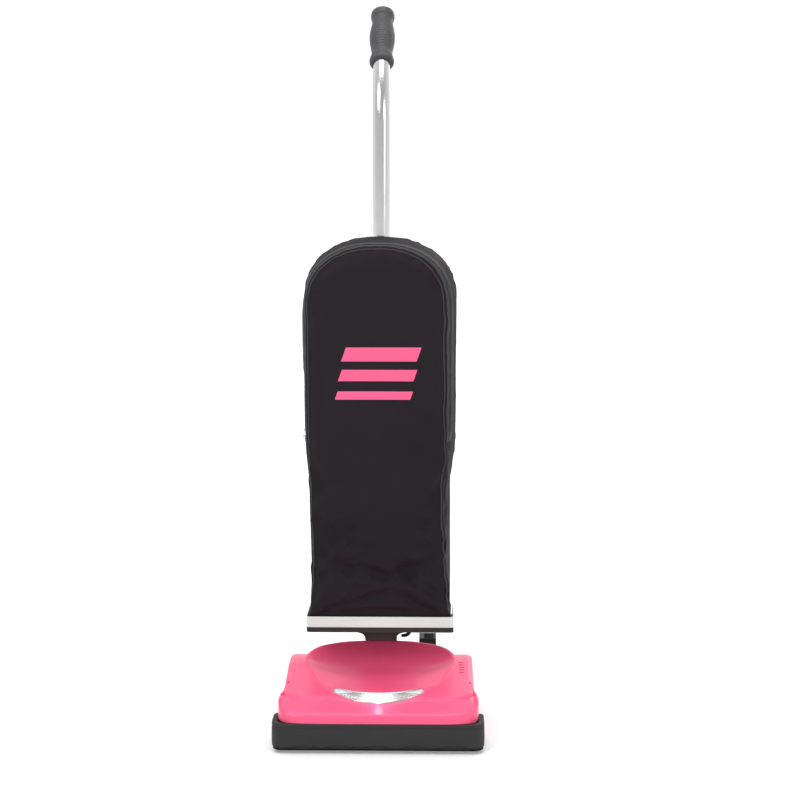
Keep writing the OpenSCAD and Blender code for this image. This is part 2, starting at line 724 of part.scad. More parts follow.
module bag_plate() {
    color(BLACK) difference() {
        slab(plate_hw, plate_y0, plate_y1, deck_z + 0.02, deck_z + deck_h, 6);
        zcyl(dock_r, deck_z - 1, deck_z + deck_h + 1, 0, dock_y);
        for (sx = [-1, 1]) {
            zcyl(screw_r + 0.1, deck_z - 1, deck_z + 5, sx * 31, 4);
        }
    }
}
module plate_screws() {
    color(STEEL) for (sx = [-1, 1]) zcyl(screw_r, box_z + 7, deck_z + 4.8, sx * 31, 4, 24);
}
module clamp_strip() {
    z0 = deck_z + deck_h;
    color(STEEL) difference() {
        slab(plate_hw, plate_y0, plate_y1, z0 + 0.02, z0 + strip_h, 6);
        slab(plate_hw - strip_t, plate_y0 + strip_t, plate_y1 + 20, z0 - 1, z0 + strip_h + 1, 4.5);
        box(-plate_hw - 1, plate_hw + 1, plate_y1 - 6, plate_y1 + 1, z0 - 1, z0 + strip_h + 1);
    }
}
module dock_seal() {
    color(DARK) difference() {
        zcyl(24, deck_z + deck_h + 0.02, deck_z + deck_h + 4, 0, dock_y);
        zcyl(18.2, deck_z + deck_h - 1, deck_z + deck_h + 5, 0, dock_y);
    }
}
module fill_tube() {
    color(BLACK) difference() {
        zcyl(18, deck_z + deck_h + 0.02, 214, 0, dock_y);
        zcyl(16, deck_z + deck_h - 1, 215, 0, dock_y);
    }
}
module paper_bag(g)
    rotate([90, 0, 0]) translate([0, 0, -18 + g]) linear_extrude(56 - 2 * g)
        polygon([[-24 + g, 216 + g], [24 - g, 216 + g], [80 - g, 250 + g], [80 - g, 640 - g],
            [-80 + g, 640 - g], [-80 + g, 250 + g]]);
module filter_bag() {
    color(PAPER) difference() {
        paper_bag(0);
        paper_bag(1.2);
        zcyl(dock_r, 200, 230, 0, dock_y);
    }
}

// ---------- outer bag ----------
bag_y0 = -54;
bag_y1 = 30;
bag_low_z = deck_z + deck_h + 0.3;
arch_h = 102;
arch_n = 2.35;
arch_steps = 20;
front_drop = 14;
bag_foot_hw = 114;
bag_waist_hw = 115;
taper_h = 55;
// outline that narrows to the waist below the arch
function sack(hw, z0, top, g) = both(concat([[bag_waist_hw - g, z0 - taper_h]], arch(hw, z0, top)));
// half outline of the bag's top: an arch on straight sides
function arch(hw, z0, top) = concat([[hw, z0]],
    [for (i = [0 : arch_steps]) let(a = i * 90 / arch_steps)
        [hw * pow(cos(a), 2 / arch_n), top - arch_h + arch_h * pow(sin(a), 2 / arch_n)]]);
function both(p) = concat(p, [for (i = [len(p) - 2 : -1 : 0]) [-p[i][0], p[i][1]]]);
module upright(y, t = 1)
    translate([0, y, 0]) rotate([90, 0, 0]) linear_extrude(t) children();
module bag_upper(g) hull() {
    upright(bag_y0 + 1 + g) polygon(sack(bag_hw - 2 - g, waist_z, bag_top - front_drop - g, g));
    upright(bag_y1 - g) polygon(sack(bag_hw - g, waist_z, bag_top - g, g));
}
module bag_lower(g) hull() {
    for (end = [[bag_foot_hw, bag_low_z + g], [bag_waist_hw, waist_z - taper_h]])
        translate([-end[0] + g, bag_y0 + g, end[1]])
            cube([2 * (end[0] - g), bag_y1 - bag_y0 - 2 * g, 1]);
}
module outer_bag() {
    color(CLOTH) difference() {
        union() {
            bag_upper(0);
            bag_lower(0);
        }
        bag_upper(cloth_t);
        bag_lower(cloth_t);
        box(-90, 90, -30, 26, bag_low_z - 1, bag_low_z + 6);
    }
}
zip_y = -34;
zip_w = 7;
zip_t = 1.1;
module bag_zipper() {
    color(BLACK) difference() {
        upright(zip_y + zip_w, zip_w) polygon(both(arch(bag_hw - 1.2 + zip_t, waist_z + 4, bag_top - 9.2 + zip_t)));
        upright(zip_y + zip_w + 1, zip_w + 2) polygon(both(arch(bag_hw - 1.2, waist_z, bag_top - 9.2)));
    }
}

// ---------- handle tube and what is on it ----------
module tube_bend(r)
    translate([0, tube_y + bend_r, bend_z]) rotate([90, 0, -90])
        rotate_extrude(angle = bend_a, $fn = 180) translate([bend_r, 0]) circle(r = r, $fn = 48);
module handle_tube() {
    color(STEEL) difference() {
        union() {
            zcyl(tube_r, tube_z0 + 0.02, bend_z, 0, tube_y);
            tube_bend(tube_r);
            at_grip() zcyl(tube_r, -eps, tube_in_grip, 0, 0);
        }
        zcyl(tube_r - tube_t, tube_z0 - 1, bend_z + eps, 0, tube_y);
        tube_bend(tube_r - tube_t);
        at_grip() zcyl(tube_r - tube_t, -eps, tube_in_grip + 1, 0, 0);
        ycyl(gland_r + 0.1, tube_y + 5, tube_y + 20, 0, gland_z, 32);
    }
}
module at_grip()
    translate([0, tube_y + bend_r * (1 - cos(bend_a)), bend_z + bend_r * sin(bend_a)])
        rotate([-bend_a, 0, 0]) children();

grip_shape = [[19.5, 0], [20, 2], [20, 8], [18.6, 12], [16.8, 18], [17, 26], [18.6, 36], [20.2, 46],
    [20.8, 56], [20.4, 66], [18.8, 77], [17.2, 86], [16.9, 92], [17.8, 97], [19.2, 101], [19.6, 105], [19, 110]];
module grip() {
    color(DARK) at_grip() difference() {
        rotate_extrude() polygon(concat([[0, 0]], grip_shape,
            [for (i = [1 : 5]) [19 * cos(i * 15), 110 + (grip_l - 110) * sin(i * 15)]], [[0, grip_l]]));
        zcyl(tube_r + 0.05, -1, tube_in_grip + 0.5, 0, 0);
    }
}

module cord_gland() {
    color(BLACK) difference() {
        union() {
            ycyl(gland_r, tube_y + 8, tube_y + tube_r + 1, 0, gland_z, 32);
            ycyl(gland_r + 2, tube_y + tube_r + 0.4, tube_y + tube_r + 12, 0, gland_z, 32);
        }
        ycyl(cord_r, tube_y, tube_y + 60, 0, gland_z, 32);
    }
}
module tube_clamp(z0, z1) difference() {
    zcyl(tube_r + clamp_t, z0, z1, 0, tube_y);
    zcyl(tube_r + 0.03, z0 - 1, z1 + 1, 0, tube_y);
}
module hook_shape(s, y0) {
    y1 = y0 + hook_reach;
    box(-7, 7, y0, y1, -4, 4);
    box(-7, 7, y1 - 6, y1, s > 0 ? 0 : -26, s > 0 ? 26 : 0);
}
module cord_hook_lower() {
    color(BLACK) {
        tube_clamp(hook_low_z - 12, hook_low_z + 12);
        difference() {
            translate([0, 0, hook_low_z]) hook_shape(-1, tube_y + tube_r + 0.5);
            zcyl(tube_r + 0.03, hook_low_z - 30, hook_low_z + 30, 0, tube_y);
        }
    }
}
module hook_mount() {
    color(BLACK) {
        tube_clamp(hook_up_z - 12, hook_up_z + 12);
        ycyl(7, tube_y + tube_r + 1.5, hook_y, 0, hook_up_z, 32);
    }
    color(STEEL) {
        ycyl(hook_pin_r, hook_y - eps, hook_y + hook_w + 0.4, 0, hook_up_z, 32);
        ycyl(hook_pin_r + 1.6, hook_y + hook_w + 0.3, hook_y + hook_w + 1.8, 0, hook_up_z, 32);
    }
}
module cord_hook_upper() {
    y0 = hook_y + 0.1;
    color(BLACK) difference() {
        union() {
            ycyl(9, y0, y0 + hook_w, 0, hook_up_z, 32);
            box(-6, 6, y0, y0 + hook_w, hook_up_z, hook_up_z + 20);
            box(-6, 6, y0, y0 + 30, hook_up_z + 14, hook_up_z + 20);
            box(-6, 6, y0 + 25, y0 + 30, hook_up_z + 14, hook_up_z + 40);
        }
        ycyl(hook_pin_r + run_gap, y0 - 1, y0 + 20, 0, hook_up_z, 32);
    }
}
module bag_clip() {
    color(BLACK) difference() {
        union() {
            tube_clamp(752, 768);
            box(-6, 6, bag_y1 + 0.5, tube_y - tube_r - 1, 754, 766);
        }
        zcyl(tube_r + 0.03, 740, 780, 0, tube_y);
    }
}

bumper();
chassis();
sole_plate();
glide_pads();
hood();
hood_screws();
sole_screws();
headlight_lens();
headlight_reflector();
headlight_bulb();
lamp_holder();
brush_shaft();
brush_core();
brush_bristles();
brush_end_left();
brush_end_right();
drive_belt();
belt_cover();
motor_can();
motor_end_left();
motor_end_right();
stator();
carbon_brushes();
motor_shaft();
armature();
commutator();
motor_pulley();
suction_fan();
fan_housing();
intake_duct();
exhaust_duct();
pivot_cheeks();
pivot_bushes();
rear_axle();
wheel_left();
wheel_right();
tyre_left();
tyre_right();
power_switch();
pedal_bracket();
foot_pedal();
pedal_pin();
pedal_spring();
handle_yoke();
supply_lead();
bag_plate();
plate_screws();
clamp_strip();
dock_seal();
fill_tube();
filter_bag();
outer_bag();
bag_zipper();
bag_clip();
handle_tube();
cord_gland();
cord_hook_lower();
hook_mount();
cord_hook_upper();
grip();
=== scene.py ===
import json
import math

import bmesh
import bpy
import numpy as np
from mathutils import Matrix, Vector
from mathutils.bvhtree import BVHTree
from mathutils.kdtree import KDTree


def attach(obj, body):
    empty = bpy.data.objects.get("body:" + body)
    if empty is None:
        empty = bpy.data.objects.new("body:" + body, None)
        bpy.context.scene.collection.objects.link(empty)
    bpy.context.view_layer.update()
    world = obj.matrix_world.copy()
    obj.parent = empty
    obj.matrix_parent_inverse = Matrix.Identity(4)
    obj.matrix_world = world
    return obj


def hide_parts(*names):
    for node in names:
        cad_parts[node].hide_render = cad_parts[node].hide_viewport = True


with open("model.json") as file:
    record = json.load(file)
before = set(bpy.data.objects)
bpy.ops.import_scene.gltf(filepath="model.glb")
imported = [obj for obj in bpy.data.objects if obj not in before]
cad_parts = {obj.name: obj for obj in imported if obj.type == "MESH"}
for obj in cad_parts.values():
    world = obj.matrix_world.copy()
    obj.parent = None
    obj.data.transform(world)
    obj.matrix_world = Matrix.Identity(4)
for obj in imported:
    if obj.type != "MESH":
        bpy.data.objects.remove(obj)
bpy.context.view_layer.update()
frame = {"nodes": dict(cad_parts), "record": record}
nodes = frame["nodes"]
record = frame["record"]
scene = bpy.context.scene
MM = 0.001

# ---------- camera and studio ----------
# The camera stands in front of the cleaner and looks a little down at it. Metres.
AZ = math.radians(1.0)
DIST = 2.633
OFF_X = 0.031
EYE_Z = 0.85
AIM_Z = 0.524
FOCAL_LENGTH = 74.57

cam_data = bpy.data.cameras.new("camera")
camera = bpy.data.objects.new("camera", cam_data)
scene.collection.objects.link(camera)
scene.camera = camera
camera.location = (math.sin(AZ) * DIST + OFF_X, -math.cos(AZ) * DIST, EYE_Z)
aim = Vector((OFF_X, 0, AIM_Z)) - camera.location
camera.rotation_euler = aim.to_track_quat("-Z", "Y").to_euler()
cam_data.sensor_width = 36
cam_data.lens = FOCAL_LENGTH
cam_data.clip_start = 0.05
cam_data.clip_end = 60

scene.view_settings.view_transform = "Standard"
scene.view_settings.look = "None"


def area_light(name, place, target, size, power):
    """Square soft light."""
    data = bpy.data.lights.new(name, "AREA")
    data.energy = power
    data.shape = "SQUARE"
    data.size = size
    ob = bpy.data.objects.new(name, data)
    ob.location = place
    ob.rotation_euler = (Vector(target) - Vector(place)).to_track_quat("-Z", "Y").to_euler()
    scene.collection.objects.link(ob)


area_light("key", (-1.5, -2.3, 2.5), (0, 0, 0.35), 1.3, 34)
area_light("fill", (2.2, -1.9, 1.5), (0, 0, 0.5), 1.2, 13)
area_light("top", (0.0, -0.3, 2.9), (0, 0, 0.1), 1.4, 25)
area_light("rim", (1.0, 2.2, 1.9), (0, 0, 0.6), 1.2, 10)

# The sky is dimmer on the camera's side than behind the cleaner.
world = bpy.data.worlds.new("world")
scene.world = world
world.use_nodes = True
sky = world.node_tree
sky.nodes["Background"].inputs["Color"].default_value = (1, 1, 1, 1)
sky_dir = sky.nodes.new("ShaderNodeTexCoord")
sky_split = sky.nodes.new("ShaderNodeSeparateXYZ")
sky_map = sky.nodes.new("ShaderNodeMapRange")
for key, value in (("From Min", -0.7), ("From Max", 0.35), ("To Min", 0.55), ("To Max", 1.03)):
    sky_map.inputs[key].default_value = value
sky.links.new(sky_dir.outputs["Generated"], sky_split.inputs["Vector"])
sky.links.new(sky_split.outputs["Y"], sky_map.inputs["Value"])
sky.links.new(sky_map.outputs["Result"], sky.nodes["Background"].inputs["Strength"])


# ---------- materials ----------
MATS = {}


def new_material(name):
    mat = bpy.data.materials.new(name)
    MATS[name] = mat
    mat.use_nodes = True
    tree = mat.node_tree
    return mat, tree, tree.nodes["Principled BSDF"]


def add(tree, kind, **values):
    """New node with the given inputs or settings."""
    node = tree.nodes.new(kind)
    for key, value in values.items():
        if key in node.inputs:
            node.inputs[key].default_value = value
        else:
            setattr(node, key, value)
    return node


def coords(tree, stretch=(1, 1, 1)):
    """Object coordinates; a texture is finer along an axis with a larger stretch."""
    where = add(tree, "ShaderNodeTexCoord")
    mapping = add(tree, "ShaderNodeMapping", Scale=stretch)
    tree.links.new(where.outputs["Object"], mapping.inputs["Vector"])
    return mapping.outputs["Vector"]


def noise(tree, vector, scale, detail=3.0, rough=0.55):
    node = add(tree, "ShaderNodeTexNoise", Scale=scale, Detail=detail, Roughness=rough)
    tree.links.new(vector, node.inputs["Vector"])
    return node.outputs["Fac"]


def remap(tree, value, lo, hi, start=0.0, end=1.0, kind="LINEAR"):
    """Value between start and end, mapped to lo and hi."""
    ends = {"From Min": start, "From Max": end, "To Min": lo, "To Max": hi}
    node = add(tree, "ShaderNodeMapRange", interpolation_type=kind, **ends)
    tree.links.new(value, node.inputs["Value"])
    return node.outputs["Result"]


def bump(tree, height, strength, distance, bsdf):
    node = add(tree, "ShaderNodeBump", Strength=strength, Distance=distance)
    tree.links.new(height, node.inputs["Height"])
    tree.links.new(node.outputs["Normal"], bsdf.inputs["Normal"])


def shade(tree, bsdf, color, amount, vector, scale):
    """Base colour that drifts a little between darker and lighter."""
    blend = add(tree, "ShaderNodeMix", data_type="RGBA")
    color_a, color_b, result = blend.inputs[6], blend.inputs[7], blend.outputs[2]
    color_a.default_value = (*[c * (1 - amount) for c in color], 1)
    color_b.default_value = (*[min(1.0, c * (1 + amount)) for c in color], 1)
    tree.links.new(noise(tree, vector, scale), blend.inputs["Factor"])
    tree.links.new(result, bsdf.inputs["Base Color"])


def surface(name, color, rough=(0.3, 0.4), metal=0.0, grain=(900, 0.1, 0.0002), drift=0.05,
            drift_scale=18, stretch=(1, 1, 1), coat=0.0, spec=0.5):
    """Plain surface. rough is the range of its roughness, grain the scale, strength and distance of its
    fine bump, and drift how far its shade wanders."""
    mat, tree, bsdf = new_material(name)
    vector = coords(tree, stretch)
    shade(tree, bsdf, color, drift, vector, drift_scale)
    bsdf.inputs["Metallic"].default_value = metal
    bsdf.inputs["Specular IOR Level"].default_value = spec
    bsdf.inputs["Coat Weight"].default_value = coat
    bsdf.inputs["Coat Roughness"].default_value = 0.12
    tree.links.new(remap(tree, noise(tree, vector, 45, 5), *rough), bsdf.inputs["Roughness"])
    bump(tree, noise(tree, vector, grain[0], 2), grain[1], grain[2], bsdf)
    return mat


def woven(name, color, pitch, rough=0.75, sheen=0.12, depth=0.35, spec=0.28):
    """Plain weave: two crossed sets of threads, with a soft drift in shade and some lint."""
    _, tree, bsdf = new_material(name)
    vector = coords(tree)
    shade(tree, bsdf, color, 0.16, vector, 9)
    threads = []
    for direction in ("X", "Z"):
        wave = add(tree, "ShaderNodeTexWave", bands_direction=direction, Scale=0.314 / pitch,
                   Distortion=0.6, Detail=1.0)
        tree.links.new(vector, wave.inputs["Vector"])
        threads.append(wave.outputs["Fac"])
    top = add(tree, "ShaderNodeMath", operation="MAXIMUM")
    tree.links.new(threads[0], top.inputs[0])
    tree.links.new(threads[1], top.inputs[1])
    lint = noise(tree, vector, 260, 4)
    both = add(tree, "ShaderNodeMath", operation="ADD")
    tree.links.new(top.outputs[0], both.inputs[0])
    tree.links.new(lint, both.inputs[1])
    bump(tree, both.outputs[0], depth, 0.0004, bsdf)
    tree.links.new(remap(tree, lint, rough - 0.1, rough + 0.08), bsdf.inputs["Roughness"])
    bsdf.inputs["Sheen Weight"].default_value = sheen
    bsdf.inputs["Sheen Roughness"].default_value = 0.45
    bsdf.inputs["Specular IOR Level"].default_value = spec


def brushed(name, color, rough, stretch, depth=0.18, scale=60):
    """Metal with brush marks, which are long where the stretch is small."""
    _, tree, bsdf = new_material(name)
    vector = coords(tree, stretch)
    streaks = noise(tree, vector, scale, 4, 0.7)
    shade(tree, bsdf, color, 0.07, vector, scale * 0.6)
    bsdf.inputs["Metallic"].default_value = 1.0
    tree.links.new(remap(tree, streaks, *rough), bsdf.inputs["Roughness"])
    bump(tree, streaks, depth, 0.00012, bsdf)


def clear(name, tint, solid):
    """Thin clear plastic: mostly lets light straight through, with a glossy skin."""
    _, tree, bsdf = new_material(name)
    bsdf.inputs["Base Color"].default_value = (*tint, 1)
    vector = coords(tree)
    tree.links.new(remap(tree, noise(tree, vector, 70, 3), 0.04, 0.12), bsdf.inputs["Roughness"])
    see = add(tree, "ShaderNodeBsdfTransparent", Color=(0.96, 0.97, 0.98, 1))
    fres = add(tree, "ShaderNodeFresnel", IOR=1.45)
    lift = add(tree, "ShaderNodeMath", operation="ADD")
    lift.inputs[1].default_value = solid
    tree.links.new(fres.outputs["Fac"], lift.inputs[0])
    blend = add(tree, "ShaderNodeMixShader")
    tree.links.new(lift.outputs[0], blend.inputs["Fac"])
    tree.links.new(see.outputs["BSDF"], blend.inputs[1])
    tree.links.new(bsdf.outputs["BSDF"], blend.inputs[2])
    tree.links.new(blend.outputs["Shader"], tree.nodes["Material Output"].inputs["Surface"])


def glowing(name, color, strength):
    """Surface that gives off light of its own."""
    _, tree, bsdf = new_material(name)
    bsdf.inputs["Base Color"].default_value = (*color, 1)
    bsdf.inputs["Emission Color"].default_value = (*color, 1)
    vector = coords(tree)
    tree.links.new(remap(tree, noise(tree, vector, 300, 2), strength * 0.9, strength * 1.1),
                   bsdf.inputs["Emission Strength"])


surface("pink_plastic", (0.93, 0.10, 0.225), (0.26, 0.34), grain=(55, 0.05, 0.0004), drift=0.02,
        drift_scale=6, coat=0.06, spec=0.3)
surface("black_plastic", (0.012, 0.0105, 0.012), (0.38, 0.52), grain=(1400, 0.25, 0.0002), spec=0.35)
surface("bumper_rubber", (0.021, 0.0195, 0.0205), (0.52, 0.7), grain=(1100, 0.3, 0.0003), drift=0.12,
        spec=0.35)
surface("grip_rubber", (0.045, 0.045, 0.049), (0.45, 0.62), grain=(1500, 0.35, 0.0003), drift=0.1,
        spec=0.45)
surface("tyre_rubber", (0.025, 0.025, 0.026), (0.65, 0.8), grain=(1300, 0.3, 0.0003))
brushed("satin_steel", (0.62, 0.63, 0.65), (0.28, 0.42), (6, 1, 1))
brushed("tube_metal", (0.62, 0.62, 0.62), (0.16, 0.26), (8, 8, 0.6))
surface("plated_steel", (0.72, 0.72, 0.73), (0.15, 0.3), 1.0)
woven("bag_cloth", (0.0165, 0.0128, 0.0155), 0.0011, 0.62, 0.0, 0.35, 0.06)
woven("zip_tape", (0.055, 0.053, 0.055), 0.0009, 0.7, 0.0, 0.5, 0.08)
surface("filter_paper", (0.62, 0.54, 0.42), (0.8, 0.92), grain=(700, 0.4, 0.0004), drift=0.1)
clear("clear_lens", (0.95, 0.96, 0.97), 0.10)
surface("reflector", (0.66, 0.62, 0.60), (0.16, 0.28), 1.0, grain=(500, 0.1, 0.0002))
surface("brass", (0.72, 0.52, 0.22), (0.22, 0.38), 1.0)
surface("copper", (0.72, 0.35, 0.18), (0.25, 0.4), 1.0)
surface("grey_plastic", (0.24, 0.24, 0.25), (0.4, 0.5))
surface("bristle", (0.08, 0.08, 0.085), (0.55, 0.7), stretch=(1, 6, 6))
surface("laminations", (0.3, 0.3, 0.31), (0.35, 0.5), 1.0, stretch=(30, 1, 1))
brushed("strip_metal", (0.61, 0.615, 0.60), (0.34, 0.46), (0.5, 9, 9))
surface("zip_teeth", (0.012, 0.012, 0.013), (0.3, 0.45))
woven("piping", (0.045, 0.041, 0.045), 0.0008, 0.6, 0.05, 0.4, 0.1)
surface("print_ink", (0.80, 0.085, 0.22), (0.5, 0.62), grain=(900, 0.3, 0.0002), drift=0.06)
glowing("lamp_glow", (1.0, 0.98, 0.93), 2.2)


def lit_reflector():
    """Bright metal with painted light: its emission stands for the bulb's light on it, and fades away from
    the bulb at the middle.
    """
    mat = surface("lit_reflector", (0.60, 0.56, 0.54), (0.16, 0.28), 1.0, grain=(500, 0.1, 0.0002))
    tree = mat.node_tree
    bsdf = tree.nodes["Principled BSDF"]
    where = add(tree, "ShaderNodeTexCoord")
    split = add(tree, "ShaderNodeSeparateXYZ")
    tree.links.new(where.outputs["Object"], split.inputs["Vector"])
    size = add(tree, "ShaderNodeMath", operation="ABSOLUTE")
    tree.links.new(split.outputs["X"], size.inputs[0])
    # Painted light: the emission is strongest at the middle, next to the bulb, and fades towards the ends.
    painted_glow = remap(tree, size.outputs[0], 1.0, 0.0, 0.004, 0.038, "SMOOTHSTEP")
    tree.links.new(painted_glow, bsdf.inputs["Emission Strength"])
    bsdf.inputs["Emission Color"].default_value = (1.0, 0.97, 0.93, 1)


lit_reflector()


# ---------- CAD pieces that are shown ----------
SLOT_OF = {row["node"]: row["material_slot"] for row in record["subparts"]}
# Width of the rounding on each node's edges, in millimetres. 0 is for nodes that are round already.
PLAIN_EDGE = 0.4
SOFT_EDGE = {"handle_tube": 0, "headlight_lens": 0, "brush_bristles": 0, "pedal_spring": 0,
             "supply_lead": 0, "handle_yoke": 1.0, "bag_plate": 1.2, "foot_pedal": 1.0, "clamp_strip": 0.35,
             "chassis": 0.5, "tyre_left": 1.6, "tyre_right": 1.6, "cord_hook_lower": 1.0,
             "cord_hook_upper": 1.0}
for name, ob in nodes.items():
    ob.data.materials.clear()
    ob.data.materials.append(MATS["strip_metal" if name == "clamp_strip" else SLOT_OF[name]])
    width = SOFT_EDGE.get(name, PLAIN_EDGE)
    weld = ob.modifiers.new("weld", "WELD")
    weld.merge_threshold = 0.00002
    if width:
        flat = ob.modifiers.new("flat", "DECIMATE")
        flat.decimate_type = "DISSOLVE"
        flat.angle_limit = math.radians(0.5)
        edge = ob.modifiers.new("edge", "BEVEL")
        edge.width = width * MM
        edge.segments = 2
        edge.limit_method = "ANGLE"
        edge.angle_limit = math.radians(38)
    weighted = ob.modifiers.new("normals", "WEIGHTED_NORMAL")
    weighted.weight = 50
    if not width:
        weighted.keep_sharp = True


# ---------- mesh helpers ----------
def piece(name, verts, faces, body, mat, sharp=38, stands_for=()):
    """New piece from points in millimetres, on a body, in place of the nodes that it stands for. Its slot
    holds the named material."""
    mesh = bpy.data.meshes.new(name)
    mesh.from_pydata([tuple(float(c) * MM for c in v) for v in verts], [], [tuple(f) for f in faces])
    mesh.validate()
    mesh.update()
    ob = bpy.data.objects.new(name, mesh)
    scene.collection.objects.link(ob)
    mesh.materials.append(MATS[mat])
    finish_shading(ob, sharp)
    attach(ob, body)
    if stands_for:
        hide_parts(*stands_for)
    return ob


def finish_shading(ob, sharp):
    """Faces outwards and smooth, apart from edges sharper than the given degrees."""
    mesh = ob.data
    bm = bmesh.new()
    bm.from_mesh(mesh)
    bmesh.ops.recalc_face_normals(bm, faces=bm.faces)
    bm.to_mesh(mesh)
    bm.free()
    mesh.polygons.foreach_set("use_smooth", [True] * len(mesh.polygons))
    if sharp:
        mesh.set_sharp_from_angle(angle=math.radians(sharp))
    mesh.update()


def grid_faces(m, n, close_m=False, close_n=False):
    """Faces between m rows of n points. A closed direction joins its end to its start."""
    faces = []
    for i in range(m if close_m else m - 1):
        for j in range(n if close_n else n - 1):
            row, next_row = i * n, ((i + 1) % m) * n
            following = (j + 1) % n
            faces.append((row + j, row + following, next_row + following, next_row + j))
    return faces


def end_caps(m, n):
    """First and last of m rows of n points, each as one face."""
    return [tuple(range(n)), tuple(range((m - 1) * n, m * n))]


def tube_faces(m, n):
    """Closed tube of m rings with n points each."""
    return grid_faces(m, n, close_n=True) + end_caps(m, n)


def sweep(path, radius, sides, up=(0, 1, 0)):
    """Tube along a path of points, in millimetres. radius is a number or one for each point."""
    path = np.asarray(path, float)
    count = len(path)
    radii = np.broadcast_to(np.asarray(radius, float), (count,))
    tangents = np.gradient(path, axis=0)
    tangents /= np.linalg.norm(tangents, axis=1)[:, None]
    verts = []
    for p, t, r in zip(path, tangents, radii):
        u = np.cross(t, up)
        u /= max(np.linalg.norm(u), 1e-9)
        v = np.cross(t, u)
        for k in range(sides):
            a = 2 * math.pi * k / sides
            verts.append(p + r * (math.cos(a) * u + math.sin(a) * v))
    return verts, tube_faces(count, sides)


def lathe(profile, sides=96):
    """Revolves (radius, height) points about Z."""
    verts = []
    for r, z in profile:
        for k in range(sides):
            a = 2 * math.pi * k / sides
            verts.append((r * math.cos(a), r * math.sin(a), z))
    return verts, grid_faces(len(profile), sides, close_n=True)


ARC_STEPS = 4
LINE_STEPS = 3
PER_CORNER = ARC_STEPS + LINE_STEPS


def rounded(points, radii):
    """Polyline with its corners rounded, always with PER_CORNER points for each corner."""
    pts = [np.asarray(p, float) for p in points]
    out = [pts[0]]
    last = pts[0]
    for i in range(1, len(pts) - 1):
        a, p, b = pts[i - 1], pts[i], pts[i + 1]
        la, lb = np.linalg.norm(p - a), np.linalg.norm(b - p)
        t = min(radii[i], 0.45 * la, 0.45 * lb)
        start = p + (a - p) / max(la, 1e-9) * t
        end = p + (b - p) / max(lb, 1e-9) * t
        out += [last + (start - last) * k / LINE_STEPS for k in range(1, LINE_STEPS)]
        for k in range(ARC_STEPS + 1):
            s = k / ARC_STEPS
            out.append((1 - s) ** 2 * start + 2 * s * (1 - s) * p + s ** 2 * end)
        last = end
    out += [last + (pts[-1] - last) * k / LINE_STEPS for k in range(1, LINE_STEPS + 1)]
    return out


def ease(a, b, v):
    """Smooth step: 0 up to a, 1 from b on."""
    t = min(1.0, max(0.0, (v - a) / (b - a)))
    return t * t * (3 - 2 * t)


def mix(a, b, t):
    return a + (b - a) * t


# ---------- hood ----------
# The hood is one surface round the bowl's axis, with a profile in each of DIRS directions. Directions
# in the tables run from 0 degrees in front to 180 behind, the same on both sides. Lengths are in
# millimetres. HW is a half width, and CORNER is the power of the outline's superellipse.
DIRS = 480
BOWL_Y = -60.0
HOOD_FRONT, HOOD_BACK = 181.0, 88.0
NOSE_HW, SIDE_HW = 156.0, 149.0
NARROW = SIDE_HW / NOSE_HW
CORNER = 10
NOSE_Z, LEDGE_Z = 61, 75.5
LEDGE_Y, CREST_Y = -149.5, -146
WALL_T = 2.6
# By direction: radius of the bowl's outer edge, height of its rim, and width of the band between them.
EDGE_R = ((0, 97), (43, 102.6), (62, 103), (78, 106), (90, 111), (101, 122), (110, 131), (118, 132),
          (126, 127), (143, 105.6), (160, 91.5), (180, 87))
EDGE_Z = ((0, 86), (35, 87), (45, 87), (62, 88), (78, 92), (90, 96), (104, 101), (111, 105), (119, 111),
          (128, 116), (143, 120), (160, 121.6), (180, 122))
BAND = ((0, 12), (43, 11.5), (49, 4), (60, 2.5), (80, 3), (100, 5), (150, 5), (180, 4))
LENS_A = 45.0
# Rings of the bowl, as parts of its radius.
RINGS = (1, 0.97, 0.93, 0.88, 0.82, 0.75, 0.67, 0.57, 0.45, 0.3, 0.15, 0.02)


def soften(values, reach, width):
    """Values round a circle, evened out by a bell curve."""
    kernel = np.exp(-0.5 * (np.arange(-reach, reach + 1) / width) ** 2)
    kernel /= kernel.sum()
    wrapped = np.concatenate([values[-reach:], values, values[:reach]])
    return np.convolve(wrapped, kernel, "valid")


def around(table, width=4):
    """Table by direction, smoothed, for each of the hood's directions."""
    a = np.arange(DIRS) * 360.0 / DIRS
    folded = np.where(a > 180, 360 - a, a)
    return soften(np.interp(folded, [t[0] for t in table], [t[1] for t in table]), 12, width)


edge_r, edge_z, band_w = around(EDGE_R), around(EDGE_Z), around(BAND, 2)


def outline(hw, y0, y1, a):
    """Point of a rounded rectangle, from y0 in front to y1 behind, in direction a."""
    s, c = math.sin(a), math.cos(a)
    hl = (HOOD_FRONT + HOOD_BACK) / 2
    r = 1 / ((abs(s) / NOSE_HW) ** CORNER + (abs(c) / hl) ** CORNER) ** (1 / CORNER)
    return hw * r * s / NOSE_HW, (y0 + y1) / 2 - (y1 - y0) / 2 * r * c / hl


def shoulder_z(y):
    """Height of the hood beside the bowl: it climbs towards the back, levels off and drops a little."""
    if y < -30:
        z = 79 + (y + 148) * 0.175
    else:
        z = 99.65 + 1.2 * math.sin(math.radians(min(90, (y + 30) * 3)))
    return z - 0.0035 * max(0.0, y) ** 2


def nose_z(y):
    """Height of the low part in front."""
    return mix(NOSE_Z, LEDGE_Z, min(1.0, max(0.0, (y + HOOD_FRONT - 3) / 29)))


def top_z(y):
    return mix(nose_z(y), shoulder_z(y), ease(LEDGE_Y, CREST_Y, y))


def polar(r, a):
    """Point at a distance from the bowl's axis, seen from above."""
    return np.array((r * math.sin(a), BOWL_Y - r * math.cos(a)))


